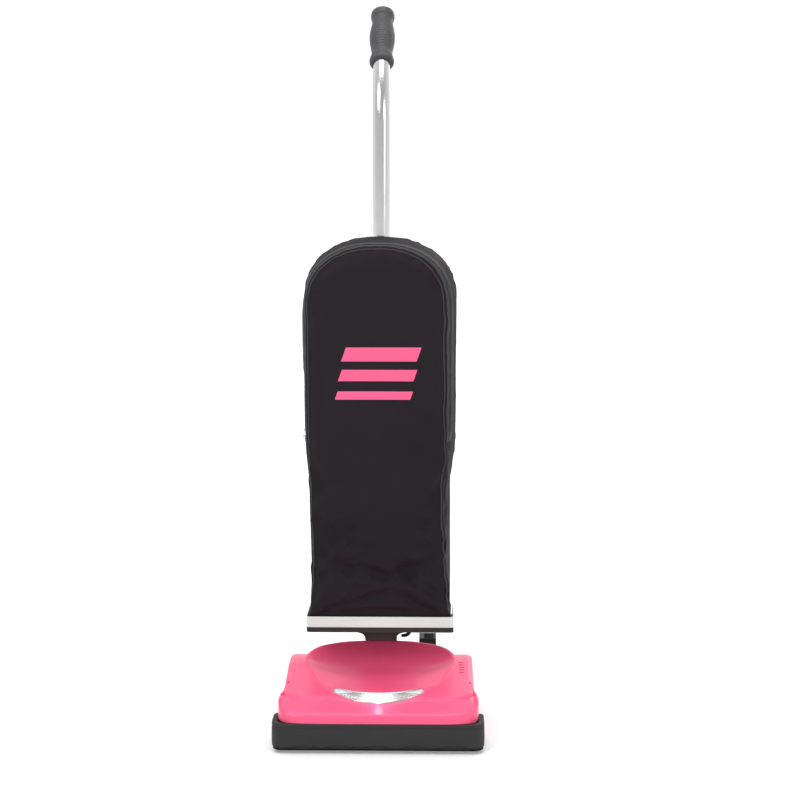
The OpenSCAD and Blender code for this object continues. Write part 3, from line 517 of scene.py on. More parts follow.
def lamp_edge():
    """Height of the lamp's lower edge for each direction, evened out over the step in the hood."""
    raw = np.array([top_z(polar(edge_r[i], 2 * math.pi * i / DIRS)[1]) + 0.4 for i in range(DIRS)])
    soft = soften(raw, 20, 8)
    away = np.minimum(np.arange(DIRS), DIRS - np.arange(DIRS)) * 360 / DIRS
    keep = np.array([ease(48, 58, d) for d in away])
    return mix(soft, raw, keep)


low_z = lamp_edge()


def hood_profile(i):
    """Section of the hood in one direction, from the foot of its wall to the middle of the bowl."""
    a = 2 * math.pi * i / DIRS
    deg = min(i, DIRS - i) * 360 / DIRS
    er, ez, bw = edge_r[i], edge_z[i], band_w[i]
    # rear and rise are 0 at the nose and 1 behind it: the width and the height change there.
    foot_y = outline(NOSE_HW, -HOOD_FRONT, HOOD_BACK, a)[1]
    rear = ease(-134, -121, foot_y)
    rise = ease(-129, -110, foot_y)

    def pulled(p, k):
        """Behind the nose the hood is narrower."""
        return np.array((p[0] * mix(1, k, rear), p[1]))

    def ahead(p, gap):
        """In front the hood keeps clear of the lamp."""
        if deg > 60:
            return p
        return np.array((p[0], min(p[1], polar(er + gap, a)[1])))

    foot = pulled(outline(NOSE_HW, -HOOD_FRONT, HOOD_BACK, a), NARROW)
    lip = pulled(outline(NOSE_HW - 1.5, -HOOD_FRONT + 3, HOOD_BACK - 2, a), NARROW)
    ledge = ahead(pulled(outline(SIDE_HW, LEDGE_Y, HOOD_BACK - 3, a), 0.96), 4)
    crest = ahead(pulled(outline(SIDE_HW - 2, CREST_Y, HOOD_BACK - 5, a), 0.96), 2.5)
    edge_foot = polar(er + 0.8, a)
    edge_top = polar(er + (0.4 if deg > 55 else 0), a)
    face = ease(46, 60, deg)

    def at(p, z):
        return np.array((p[0], p[1], z))

    # The wall ends above the bumper and reaches further down behind it.
    skirt = mix(47, 14, ease(-96, -91, foot[1]))
    front_drop = mix(4, 1.8, ease(-176, -160, foot[1]))
    mid = (crest + edge_foot) / 2
    inner = [polar((er - bw) * f, a) for f in RINGS]
    heights = [mix(84, ez, f ** 2.5) for f in RINGS]
    points = [
        at(foot, skirt),
        at(foot, mix(nose_z(foot[1]) - front_drop, shoulder_z(foot[1]) - 6, rise)),
        at(lip, mix(nose_z(lip[1]), shoulder_z(lip[1]) - 2, rise)),
        at(ledge, mix(min(LEDGE_Z, nose_z(ledge[1])), shoulder_z(ledge[1]) - 1, rise)),
        at(crest, top_z(crest[1])),
        at(mid, top_z(mid[1])),
        at(edge_foot, low_z[i] - 0.1),
        at(edge_top, mix(low_z[i], ez, face)),
    ] + [at(p, z) for p, z in zip(inner, heights)]
    radii = [0, mix(2.4, 5, rear), mix(2.6, 6, rear), mix(1.0, 5, rear), mix(1.4, 6, rear), 12, 1.0,
             mix(0.7, 2.2, face), mix(0.9, 2.6, face)] + [20] * (len(RINGS) - 2) + [0]
    return rounded(points, radii)


profiles = [hood_profile(i) for i in range(DIRS)]
ROWS = len(profiles[0])
# The lamp's band lies between the profile's eighth and ninth points. It is left open for the lens.
BAND_ROWS = range(7 * PER_CORNER, 7 * PER_CORNER + LINE_STEPS)
LENS_HALF = int(LENS_A * DIRS / 360)
hood_verts = [p for prof in profiles for p in prof]
hood_faces = []
lens_cols = {*range(LENS_HALF), *range(DIRS - LENS_HALF, DIRS)}
for face_index, face in enumerate(grid_faces(DIRS, ROWS, close_m=True)):
    i, j = divmod(face_index, ROWS - 1)
    if i in lens_cols and j in BAND_ROWS:
        continue
    hood_faces.append(face)
hood_faces.append(tuple(ROWS - 1 + i * ROWS for i in range(DIRS)))
hood = piece("hood_cover", hood_verts, hood_faces, "base", "pink_plastic", 0, ["hood"])
solid = hood.modifiers.new("wall", "SOLIDIFY")
solid.thickness = WALL_T * MM
solid.offset = -1
solid.use_even_offset = False


def cutter(name, outline_pts, heights):
    """Upright prism to cut with, between two heights."""
    verts = [(x * MM, y * MM, z * MM) for z in heights for x, y in outline_pts]
    mesh = bpy.data.meshes.new(name)
    mesh.from_pydata(verts, [], tube_faces(2, len(outline_pts)))
    ob = bpy.data.objects.new(name, mesh)
    scene.collection.objects.link(ob)
    finish_shading(ob, 0)
    return ob


def round_rect(x0, x1, y0, y1, r, n=6):
    """Rectangle with round corners of n steps each."""
    corners = ((x1 - r, y1 - r), (x0 + r, y1 - r), (x0 + r, y0 + r), (x1 - r, y0 + r))
    pts = []
    for turn, (cx, cy) in enumerate(corners):
        for k in range(n + 1):
            a = math.radians(90 * turn + 90 * k / n)
            pts.append((cx + r * math.cos(a), cy + r * math.sin(a)))
    return pts


def apply_modifiers(ob):
    """Makes the modifiers' result the object's own mesh."""
    dg = bpy.context.evaluated_depsgraph_get()
    mesh = bpy.data.meshes.new_from_object(ob.evaluated_get(dg))
    old = ob.data
    ob.modifiers.clear()
    ob.data = mesh
    bpy.data.meshes.remove(old)


apply_modifiers(hood)
# One opening for the yoke, and a row of short slots in the right shoulder.
VENTS, VENT_Y, VENT_PITCH, VENT_HALF = 5, -62, 9.0, 1.6
cuts = [cutter("slot_cut", round_rect(-56, 56, 31, 110, 7), (37.9, 140))]
for k in range(VENTS):
    y = VENT_Y + k * VENT_PITCH
    vent = round_rect(125.5, 134.5, y - VENT_HALF, y + VENT_HALF, 1.5, 4)
    cuts.append(cutter(f"vent_cut_{k}", vent, (80, 120)))
for cut in cuts:
    carve = hood.modifiers.new("carve", "BOOLEAN")
    carve.operation = "DIFFERENCE"
    carve.solver = "EXACT"
    carve.object = cut
apply_modifiers(hood)
for cut in cuts:
    bpy.data.objects.remove(cut)
hood.data.polygons.foreach_set("use_smooth", [True] * len(hood.data.polygons))
hood.data.set_sharp_from_angle(angle=math.radians(42))


# ---------- headlight ----------
def band_point(col, t, depth):
    """Point of the lamp's face: t from its lower outer edge to its upper inner edge, depth inwards."""
    a = 2 * math.pi * col / DIRS
    i = int(round(col)) % DIRS
    low = polar(edge_r[i], a)
    high = polar(edge_r[i] - band_w[i], a)
    p0 = np.array((*low, low_z[i]))
    p1 = np.array((*high, edge_z[i]))
    out = np.array((math.sin(a), -math.cos(a), 0.0))
    along = (p1 - p0) / np.linalg.norm(p1 - p0)
    normal = np.cross(np.array((math.cos(a), math.sin(a), 0.0)), along)
    if normal @ (out + np.array((0, 0, 1))) < 0:
        normal = -normal
    return p0 + (p1 - p0) * t - normal * depth


def band_strip(name, section, cols, mat, sharp=30, stands_for=()):
    """Bar that follows the lamp's face. Its section is in (t, depth); a depth may vary by column."""
    verts = [band_point(c, t, d(c) if callable(d) else d) for c in cols for t, d in section]
    piece(name, verts, tube_faces(len(cols), len(section)), "base", mat, sharp, stands_for)


span = LENS_A * DIRS / 360 - 1.2
lens_line = list(np.linspace(-span, span, 121))
lens_section = [(0.10, 0.3), (0.13, -0.5), (0.25, -1.3), (0.5, -1.8), (0.75, -1.3), (0.87, -0.5), (0.90, 0.3),
                (0.86, 1.3), (0.5, 0.2), (0.14, 1.3)]
band_strip("lamp_lens", lens_section, lens_line, "clear_lens", 30, ["headlight_lens"])
frame_section = [(0.02, 0.4), (0.04, -0.5), (0.12, -0.6), (0.14, 0.2), (0.14, 1.8), (0.02, 1.8)]
band_strip("lamp_frame_lower", frame_section, lens_line, "reflector")
upper_section = [(1 - t, d) for t, d in frame_section]
band_strip("lamp_frame_upper", upper_section, lens_line, "reflector")
flutes = list(np.linspace(-span + 0.6, span - 0.6, 241))


def fluted(base):
    """Depth that ripples from column to column."""
    return lambda c: base + 0.55 * abs(math.sin(c * 0.75))


reflector_section = [(0.06, 1.6), (0.12, fluted(4.2)), (0.3, fluted(6.6)), (0.5, fluted(7.4)),
                     (0.7, fluted(6.6)), (0.88, fluted(4.2)), (0.94, 1.6), (0.97, 1.9), (0.9, 6.2),
                     (0.5, 9.4), (0.1, 6.2), (0.03, 1.9)]
band_strip("lamp_reflector", reflector_section, flutes, "lit_reflector", 50, ["headlight_reflector"])
BULB_HALF = 9
bulb_cols = np.linspace(-BULB_HALF, BULB_HALF, 25)
bulb_radii = [0.4 + 2.0 * math.sqrt(max(0, 1 - (c / BULB_HALF) ** 2)) for c in bulb_cols]
glow_verts, glow_faces = sweep([band_point(c, 0.5, 3.4) for c in bulb_cols], bulb_radii, 12, up=(0, 0, 1))
piece("lamp_bulb", glow_verts, glow_faces, "base", "lamp_glow", 0, ["headlight_bulb"])
spill = bpy.data.objects.new("lamp_spill", bpy.data.lights.new("lamp_spill", "POINT"))
spill.data.energy = 0.028
spill.data.color = (1, 0.95, 0.9)
spill.data.shadow_soft_size = 0.006
spill.location = (0, -0.163, 0.092)
scene.collection.objects.link(spill)


# ---------- bumper ----------
def bumper_path():
    """Outer line of the bumper seen from above, from the right rear round the front to the left rear."""
    hw, front, back, r = 164.0, -183.0, -95.0, 18.0
    turn = np.linspace(0.08, math.pi / 2 - 0.08, 12)
    pts = [(hw, y) for y in np.linspace(back, front + r, 24)]
    pts += [(hw - r + r * math.cos(a), front + r - r * math.sin(a)) for a in turn]
    pts += [(x, front) for x in np.linspace(hw - r, -hw + r, 240)]
    pts += [(-hw + r - r * math.sin(a), front + r - r * math.cos(a)) for a in turn]
    pts += [(-hw, y) for y in np.linspace(front + r, back, 24)]
    return np.array(pts)


path = bumper_path()
tangent = np.gradient(path, axis=0)
tangent /= np.linalg.norm(tangent, axis=1)[:, None]
inward = np.stack([tangent[:, 1], -tangent[:, 0]], 1)
if inward[150] @ np.array((0, 1)) < 0:
    inward = -inward

# Section of the bumper as distance inwards and height, cut into short steps for its lip and bead.
BUMPER_T, BUMPER_LOW, BUMPER_TOP = 9.5, 5, 47
SCALLOP_PITCH, SCALLOP_R, SCALLOP_RISE = 58, 90, 4
section = round_rect(0, BUMPER_T, BUMPER_LOW, BUMPER_TOP, 1.8, 5)
detail = []
for (d, z), (d2, z2) in zip(section, section[1:] + section[:1]):
    steps = max(1, int(math.hypot(d2 - d, z2 - z) / 0.6))
    detail += [(mix(d, d2, k / steps), mix(z, z2, k / steps)) for k in range(steps)]


def scallop(x):
    """Rise of the lip's edge: five shallow arcs along the front."""
    nearest = round(x / SCALLOP_PITCH) * SCALLOP_PITCH
    if abs(nearest) > 2 * SCALLOP_PITCH:
        return 0.0
    dx = x - nearest
    return max(0.0, SCALLOP_RISE - (SCALLOP_R - math.sqrt(SCALLOP_R ** 2 - dx ** 2)))


bumper_verts = []
for (x, y), (nx, ny) in zip(path, inward):
    edge = 9.2 + (scallop(x) if y < -180 else 0.0)
    rear = 1 - 0.24 * ease(-135, -95, y)
    for d, z in detail:
        dd = d + 0.5
        if d < 1:
            dd += 4.0 * (1 - ease(edge - 0.5, edge + 0.5, z)) + 0.9 * math.exp(-((z - 40.5) / 1.1) ** 2)
            dd -= 0.5 * math.sin(math.pi * (z - BUMPER_LOW) / (BUMPER_TOP - BUMPER_LOW))
        bumper_verts.append((x + nx * dd, y + ny * dd, BUMPER_LOW + (z - BUMPER_LOW) * rear))
piece("bumper_strip", bumper_verts, tube_faces(len(path), len(detail)), "base", "bumper_rubber", 35,
      ["bumper"])

# ---------- yoke ----------
PIVOT_Y, PIVOT_Z = 56, 58
TUBE_Y = 52
NECK_Z, NECK_TOP = 60, 156.9
DISC_R, POST_TOP, POST_LOW = 23.0, 47.5, 45.0
BORE_R = 18.5
PLATE_STEPS = 160


def along_x(profile, y, z):
    """Turned part whose axis runs across the cleaner."""
    verts, faces = lathe(profile, 72)
    return [(v[2], v[0] + y, v[1] + z) for v in verts], faces


def joined(*parts):
    """Several (points, faces) pairs as one."""
    verts, faces = [], []
    for part_verts, part_faces in parts:
        faces += [tuple(i + len(verts) for i in f) for f in part_faces]
        verts += list(part_verts)
    return verts, faces


def yoke_neck():
    """Box that reaches forward near its top and flares out under the bag's plate."""
    verts, levels = [], list(np.linspace(NECK_Z, NECK_TOP, 120)) + [157.3, 157.4]
    for z in levels:
        flare = min(1.0, max(0.0, (z - 135.5) / 11))
        hw = 25 + 11.8 * (1 - math.sqrt(1 - flare ** 2)) - (0.4 if z > 157.35 else 0)
        front = mix(37, -21, ease(124, 135, z))
        back = mix(67, 71, ease(124, 135, z))
        verts += [(x, y, z) for x, y in round_rect(-hw, hw, front, back, 4, 5)]
    return verts, tube_faces(len(levels), len(verts) // len(levels))


drum = along_x([(0.1, -57), (13.6, -57), (15, -56), (15, -38.4), (19, -38), (20, -37), (20, 37), (19, 38),
                (15, 38.4), (15, 56), (13.6, 57), (0.1, 57)], PIVOT_Y, PIVOT_Z)
socket = lathe([(13.6, 212), (13.6, 221.4), (14.2, 222), (17, 222), (18, 221), (18, 214), (17.4, 213.4),
                (17.4, 211), (18, 210.4), (18, 160), (19, 158), (19, 157)])
socket = ([(x, y + TUBE_Y, z) for x, y, z in socket[0]], socket[1])
verts, faces = joined(drum, yoke_neck(), socket)
piece("yoke_body", verts, faces, "handle", "black_plastic", 40, ["handle_yoke", "plate_screws"])


def plate_outline():
    """Side view of a pivot plate: an upright post with a disc round the pivot."""
    pts = []
    for k in range(PLATE_STEPS):
        a = 2 * math.pi * k / PLATE_STEPS
        c, d = math.cos(a), math.sin(a)
        if abs(c) > 1e-6:
            side = (12.5 if c > 0 else 10.5) / abs(c)
            end = POST_TOP / d if d > 0 else POST_LOW / max(1e-6, -d)
            reach = max(DISC_R, min(side, end))
        else:
            reach = POST_TOP if d > 0 else POST_LOW
        pts.append((PIVOT_Y + reach * c, PIVOT_Z + reach * d))
    return pts


def pivot_plate(sx):
    """Plate with a bore, on the right (sx = 1) or on the left (sx = -1)."""
    verts = []
    ring = plate_outline()
    turns = [2 * math.pi * k / PLATE_STEPS for k in range(PLATE_STEPS)]
    bore = [(PIVOT_Y + BORE_R * math.cos(a), PIVOT_Z + BORE_R * math.sin(a)) for a in turns]
    for x, loop, inset in ((40, bore, 0), (40, ring, 0.8), (40.8, ring, 0), (51.2, ring, 0), (52, ring, 0.8),
                           (52, bore, 0)):
        for y, z in loop:
            dy, dz = y - PIVOT_Y, z - PIVOT_Z
            f = 1 - inset / max(1.0, math.hypot(dy, dz))
            verts.append((sx * x, PIVOT_Y + dy * f, PIVOT_Z + dz * f))
    return verts, grid_faces(6, PLATE_STEPS, close_m=True, close_n=True)


verts, faces = joined(pivot_plate(-1), pivot_plate(1))
piece("pivot_plates", verts, faces, "base", "black_plastic", 35, ["pivot_cheeks"])

# Of the plate's screws only the heads are left in the open, on the plate.
SCREW_X, SCREW_Y = 31, 4
head_verts, head_faces = lathe([(0.1, 166.6), (2.6, 166.6), (3.1, 166.2), (3.1, 165.5)], 24)
verts, faces = joined(*(([(x + sx * SCREW_X, y + SCREW_Y, z) for x, y, z in head_verts], head_faces)
                        for sx in (-1, 1)))
piece("plate_screw_heads", verts, faces, "handle", "plated_steel", 40)

# ---------- grip ----------
GRIP_A = math.radians(40)
BEND_R, BEND_Z = 143, 968
GRIP_AT = np.array((0.0, TUBE_Y + BEND_R * (1 - math.cos(GRIP_A)), BEND_Z + BEND_R * math.sin(GRIP_A)))
GRIP_LENGTH = 110
RIB_PITCH = 5.2


def to_grip(verts):
    """From the grip's own axis to its place on the bent tube."""
    c, s = math.cos(GRIP_A), math.sin(GRIP_A)
    return [(x, y * c + z * s + GRIP_AT[1], -y * s + z * c + GRIP_AT[2]) for x, y, z in verts]


# Radius along the grip, from the tube's end to its tip.
GRIP = [(19.5, 0), (20, 2), (20, 8), (18.6, 12), (16.8, 18), (17, 26), (18.6, 36), (20.2, 46), (20.8, 56),
        (20.4, 66), (18.8, 77), (17.2, 86), (16.9, 92), (17.8, 97), (19.2, 101), (19.6, 105), (19, 110)]


def grip_profile():
    """Radii and heights: fine rings on the middle, a groove near each end and a domed tip."""
    heights = np.linspace(0, GRIP_LENGTH, 221)
    radii = np.interp(heights, [p[1] for p in GRIP], [p[0] for p in GRIP])
    smooth = np.convolve(np.pad(radii, 8, "edge"), np.ones(17) / 17, "valid")
    profile = [(13.6, 0.4), (13.9, 0.0), (18.6, 0.0)]
    for z, r in zip(heights[4:], smooth[4:]):
        ring = 0.55 * max(0.0, math.cos((z - 56) * 2 * math.pi / RIB_PITCH)) ** 6 if 24 < z < 88 else 0.0
        groove = 0.8 * math.exp(-((z - 9.8) / 0.7) ** 2) + 0.8 * math.exp(-((z - 98.6) / 0.7) ** 2)
        profile.append((r - ring - groove, z))
    for k in range(1, 13):
        a = math.radians(90 * k / 12.2)
        dome = 0.5 * math.exp(-((k - 5) / 0.8) ** 2)
        profile.append(((19 - dome) * math.cos(a), GRIP_LENGTH + (6 - dome * 0.6) * math.sin(a)))
    return profile


SIDES = 96
verts, faces = lathe(grip_profile(), SIDES)
last_row = len(verts) - SIDES
verts.append((0, 0, GRIP_LENGTH + 6))
faces += [(last_row + k, last_row + (k + 1) % SIDES, len(verts) - 1) for k in range(SIDES)]
piece("hand_grip", to_grip(verts), faces, "handle", "grip_rubber", 50, ["grip"])

# ---------- outer bag ----------
# The bag's back seam and front seam: half widths above the waist (hw), at the waist and at the foot,
# offset of the middle (cx), height of the top, height of the arch and place (y).
BACK = dict(hw=125.2, waist=116.0, foot=113.5, cx=-0.6, top=787.5, arch=103, y=29.0)
FRONT = dict(hw=111.5, waist=108.0, foot=113.5, cx=-6.5, top=770.5, arch=98, y=-53.0)
FOOT_Z, WAIST_Z, TAPER = 166.5, 457.0, 70.0
ARCH_POWER = 2 / 2.35
SIDE_STEPS = 80
SEAM_POINTS = 321
BLANK_ROWS = 15
CLAMP_Z = 183


def outline_at(t):
    """Outline of the bag between its back seam (t = 0) and its front seam (t = 1), from the right foot
    over the top to the left foot, as x and z."""
    d = {k: mix(BACK[k], FRONT[k], t) for k in BACK}
    spring = d["top"] - d["arch"]
    pts = []
    for k in range(SIDE_STEPS + 1):
        z = mix(FOOT_Z, spring, k / SIDE_STEPS)
        low = mix(d["foot"], d["waist"], ease(FOOT_Z, 300, z))
        w = mix(low, d["hw"], ease(WAIST_Z - TAPER, WAIST_Z, z))
        pts.append((w, z))
    for k in range(1, SIDE_STEPS + 1):
        a = math.pi / 2 * k / SIDE_STEPS
        pts.append((d["hw"] * max(0.0, math.cos(a)) ** ARCH_POWER,
                    spring + d["arch"] * math.sin(a) ** ARCH_POWER))
    cx = [d["cx"] * ease(FOOT_Z, 420, z) for _, z in pts]
    right = [(w + c, z) for (w, z), c in zip(pts, cx)]
    left = [(-w + c, z) for (w, z), c in zip(pts[:-1], cx[:-1])]
    line = np.array(right + left[::-1])
    gaps = np.linalg.norm(np.diff(line, axis=0), axis=1)
    at = np.concatenate([[0], np.cumsum(gaps)])
    even = np.linspace(0, at[-1], SEAM_POINTS)
    return np.stack([np.interp(even, at, line[:, 0]), np.interp(even, at, line[:, 1])], 1)


def bag_blank():
    """Closed loft between the two seams, with slightly bulging sides."""
    verts = []
    for i in range(BLANK_ROWS):
        t = i / (BLANK_ROWS - 1)
        belly = 1.0 * math.sin(math.pi * t)
        line = outline_at(t)
        centre = np.array((mix(BACK["cx"], FRONT["cx"], t), 450))
        out = line - centre
        out /= np.linalg.norm(out, axis=1)[:, None]
        line = line + out * (belly - 1.2)
        y = mix(BACK["y"], FRONT["y"], t)
        verts += [(x, y, max(z, FOOT_Z)) for x, z in line]
    n = SEAM_POINTS
    right_foot = [i * n for i in range(BLANK_ROWS)]
    left_foot = [i + n - 1 for i in reversed(right_foot)]
    floor_face = tuple(right_foot + left_foot)
    return verts, grid_faces(BLANK_ROWS, n) + end_caps(BLANK_ROWS, n) + [floor_face]


def co_of(ob):
    """Places of an object's points, in metres."""
    co = np.zeros(len(ob.data.vertices) * 3)
    ob.data.vertices.foreach_get("co", co)
    return co.reshape(-1, 3)


def put_co(ob, co):
    ob.data.vertices.foreach_set("co", np.asarray(co, float).ravel())
    ob.data.update()


def surface_tree(ob):
    """Search tree that finds the nearest point of an object's surface."""
    bm = bmesh.new()
    bm.from_mesh(ob.data)
    tree = BVHTree.FromBMesh(bm)
    bm.free()
    return tree


verts, faces = bag_blank()
bag = piece("cloth_bag", verts, faces, "handle", "bag_cloth", 0, ["outer_bag"])
blank_tree = surface_tree(bag)
remesh = bag.modifiers.new("even", "REMESH")
remesh.mode = "VOXEL"
remesh.voxel_size = 0.0055
remesh.use_smooth_shade = True
apply_modifiers(bag)


# The voxels leave steps in the outline, so each point goes back onto the blank.
put_co(bag, [blank_tree.find_nearest(Vector(p))[0] for p in co_of(bag)])


def inflate(ob, frames, caps):
    """Blows the sewn bag up as cloth that is held in the clamp strip, and keeps the result. No point
    moves further than caps, in metres along X, Y and Z."""
    start = co_of(ob)
    held = ob.vertex_groups.new(name="held")
    for i, p in enumerate(start):
        weight = min(1.0, max(0.0, 1 - (p[2] - 0.184) / 0.02))
        if weight > 0:
            held.add([i], weight, "REPLACE")
    mod = ob.modifiers.new("cloth", "CLOTH")
    cloth = mod.settings
    cloth.quality = 5
    cloth.mass = 0.25
    cloth.tension_stiffness = 18
    cloth.compression_stiffness = 14
    cloth.shear_stiffness = 6
    cloth.bending_stiffness = 0.35
    cloth.use_pressure = True
    cloth.uniform_pressure_force = 3.2
    cloth.shrink_min = -0.022
    cloth.vertex_group_mass = "held"
    cloth.effector_weights.gravity = 0.25
    mod.point_cache.frame_start = 1
    mod.point_cache.frame_end = frames
    for f in range(1, frames + 1):
        scene.frame_set(f)
    dg = bpy.context.evaluated_depsgraph_get()
    blown = ob.evaluated_get(dg)
    moved = np.zeros(len(start) * 3)
    blown.data.vertices.foreach_get("co", moved)
    moved = moved.reshape(-1, 3)
    ob.modifiers.remove(mod)
    ob.vertex_groups.remove(held)
    scene.frame_set(1)
    shift = np.clip(moved - start, -np.array(caps), np.array(caps))
    put_co(ob, start + shift)


inflate(bag, 20, (0.0016, 0.0085, 0.0018))

fine = bag.modifiers.new("fine", "SUBSURF")
fine.levels = 1
fine.render_levels = 1
fine.subdivision_type = "CATMULL_CLARK"
apply_modifiers(bag)


def seam_line(t, samples=700):
    """Evenly spaced points of the outline at t, in metres."""
    line = outline_at(t)
    k = np.linspace(0, len(line) - 1, samples)
    x = np.interp(k, np.arange(len(line)), line[:, 0])
    z = np.interp(k, np.arange(len(line)), line[:, 1])
    y = np.full(samples, mix(BACK["y"], FRONT["y"], t))
    return np.stack([x, y, z], 1) * MM


def bag_normals():
    no = np.zeros(len(bag.data.vertices) * 3)
    bag.data.vertices.foreach_get("normal", no)
    return no.reshape(-1, 3)


def tree_of(points):
    """Search tree that finds the nearest of the points."""
    kd = KDTree(len(points))
    for i, p in enumerate(points):
        kd.insert(p, i)
    kd.balance()
    return kd


def wobble(values, seed, waves, lengths):
    """Smooth noise along one number, as a sum of sines."""
    r = np.random.default_rng(seed)
    total = np.zeros_like(values)
    for k in range(waves):
        total += np.sin(values * 2 * math.pi / r.uniform(*lengths) + r.uniform(0, 6.28)) * r.uniform(0.5, 1)
    return total / waves


# Folds on the bag's front: x and z of both ends, height and width. A negative height is a hollow.
FOLDS = ((28, 250, 104, 186, 2.6, 9), (60, 232, 108, 214, -1.8, 8), (-98, 262, -62, 300, 2.2, 10),
         (-104, 300, -40, 250, -1.4, 12), (-20, 205, 70, 262, -1.6, 13), (-90, 420, -60, 380, 1.2, 12),
         (70, 470, 108, 430, 1.5, 11), (-100, 640, -70, 700, 1.1, 10), (60, 705, 96, 655, 1.2, 10),
         (-60, 215, -100, 190, 1.6, 8), (90, 330, 112, 300, 1.3, 9), (-30, 735, 30, 742, 0.9, 8))
# About the distance between two points of seam_line().
SEAM_STEP = 2.1


def dress_bag():
    """Seam channels, puckers beside the seams, gathers at the clamp and a few soft folds."""
    co, no = co_of(bag), bag_normals()
    push = np.zeros(len(co))
    for t, depth, pucker in ((0.0, 0.9, 0.35), (1.0, 1.2, 1.1)):
        line = seam_line(t)
        kd = tree_of(line)
        near = [kd.find(p) for p in co]
        gap = np.array([q[2] for q in near]) / MM
        along = np.array([q[1] for q in near]) * SEAM_STEP
        push -= depth * np.exp(-(gap / 3.6) ** 2)
        if t == 1.0:
            # The front face falls back towards its seam.
            facing = np.clip((-0.022 - co[:, 1]) / 0.03, 0, 1) * np.clip((co[:, 2] - 0.21) / 0.06, 0, 1)
            co[:, 1] += 0.0065 * facing * np.exp(-gap / 17)
        ripple = wobble(along, 11 + int(t), 5, (13, 34))
        strength = 0.4 + 0.6 * np.exp(-((along - 735) / 260) ** 2)
        push += pucker * ripple * strength * np.exp(-((gap - 7) / 11) ** 2)
    x, z = co[:, 0] / MM, co[:, 2] / MM
    gather = np.exp(-np.maximum(0, z - CLAMP_Z) / 22)
    push += 1.5 * gather * wobble(x + 0.15 * z, 5, 4, (16, 40)) * (z > CLAMP_Z)
    front = co[:, 1] < -0.03
    for x0, z0, x1, z1, height, width in FOLDS:
        d = np.array((x1 - x0, z1 - z0), float)
        length = np.linalg.norm(d)
        d /= length
        s = (x - x0) * d[0] + (z - z0) * d[1]
        off = -(x - x0) * d[1] + (z - z0) * d[0] + 3 * np.sin(s * 0.07)
        ends = np.exp(-(np.maximum(0, np.abs(s - length / 2) - length / 2) / 16) ** 2)
        crest = np.exp(-(off / width) ** 2)
        trough = np.exp(-((off - width * 1.7) / width) ** 2)
        push += 1.6 * front * height * ends * (crest - 0.5 * trough)
    slow = wobble(x + 0.4 * z, 21, 4, (120, 260)) * wobble(z - 0.3 * x, 22, 4, (140, 300))
    push += 2.4 * slow * (z > 200)
    held = np.clip((z - CLAMP_Z) / 10, 0, 1)
    put_co(bag, co + no * (push * held)[:, None] * MM)


dress_bag()
finish_shading(bag, 0)
skin = surface_tree(bag)


def onto_bag(p, lift):
    """Nearest point of the bag to p, lifted off it, in millimetres, with the surface's direction."""
    hit, normal, _, _ = skin.find_nearest(Vector(p))
    return (np.array(hit) + np.array(normal) * lift * MM) / MM, np.array(normal)


def smooth_path(points, passes=3):
    points = np.asarray(points, float)
    for _ in range(passes):
        inner = (points[:-2] + points[1:-1] * 2 + points[2:]) / 4
        points = np.concatenate([points[:1], inner, points[-1:]])
    return points


def bag_line(t, low, lift):
    """Path on the bag between its seams, above a height, in millimetres."""
    line = seam_line(t, 900)
    return smooth_path([onto_bag(p, lift)[0] for p in line if p[2] > low * MM])


def piping(name, t, radius, mat):
    """Round cord sewn into a seam."""
    verts, faces = sweep(bag_line(t, CLAMP_Z + 0.5, 0.35), radius, 10)
    piece(name, verts, faces, "handle", mat, 0)


piping("piping_back", 0.0, 1.4, "bag_cloth")
piping("piping_front", 1.0, 1.15, "piping")


ZIP_T = 0.76
TAPE_HALF, TAPE_THICK, TAPE_LIFT, TAPE_HEM = 11.0, 0.5, 0.15, 0.25
TAPE_COLS = 9


def zip_tape():
    """Flat tape over the bag's top, from waist to waist, with a slightly raised hem."""
    centre = bag_line(ZIP_T, WAIST_Z + 4, TAPE_LIFT)
    verts = []
    for i, p in enumerate(centre):
        _, normal = onto_bag(p * MM, 0)
        tangent = centre[min(i + 1, len(centre) - 1)] - centre[max(i - 1, 0)]
        side = np.cross(tangent, normal)
        side /= np.linalg.norm(side)
        top_row, low_row = [], []
        for k in range(TAPE_COLS):
            u = k / (TAPE_COLS - 1) * 2 - 1
            q, lifted = onto_bag((p + side * u * TAPE_HALF) * MM, TAPE_LIFT)
            raised = TAPE_HEM * math.exp(-((abs(u) - 0.86) / 0.06) ** 2)
            top_row.append(q + lifted * (TAPE_THICK + raised))
            low_row.append(q - lifted * 0.2)
        verts += top_row + low_row[::-1]
    faces = tube_faces(len(centre), 2 * TAPE_COLS)
    piece("zip_tape", verts, faces, "handle", "zip_tape", 0, ["bag_zipper"])
    return centre


zip_line = zip_tape()
TOOTH_PITCH = 1.7
# Half sizes of a tooth across and along the tape, and its height, at its root and at its tip.
TOOTH_LEVELS = ((2.2, 0.55, 0.6), (1.7, 0.4, 1.7))
BLOCK_FACES = ((0, 1, 5, 4), (1, 2, 6, 5), (2, 3, 7, 6), (3, 0, 4, 7), (4, 5, 6, 7), (3, 2, 1, 0))


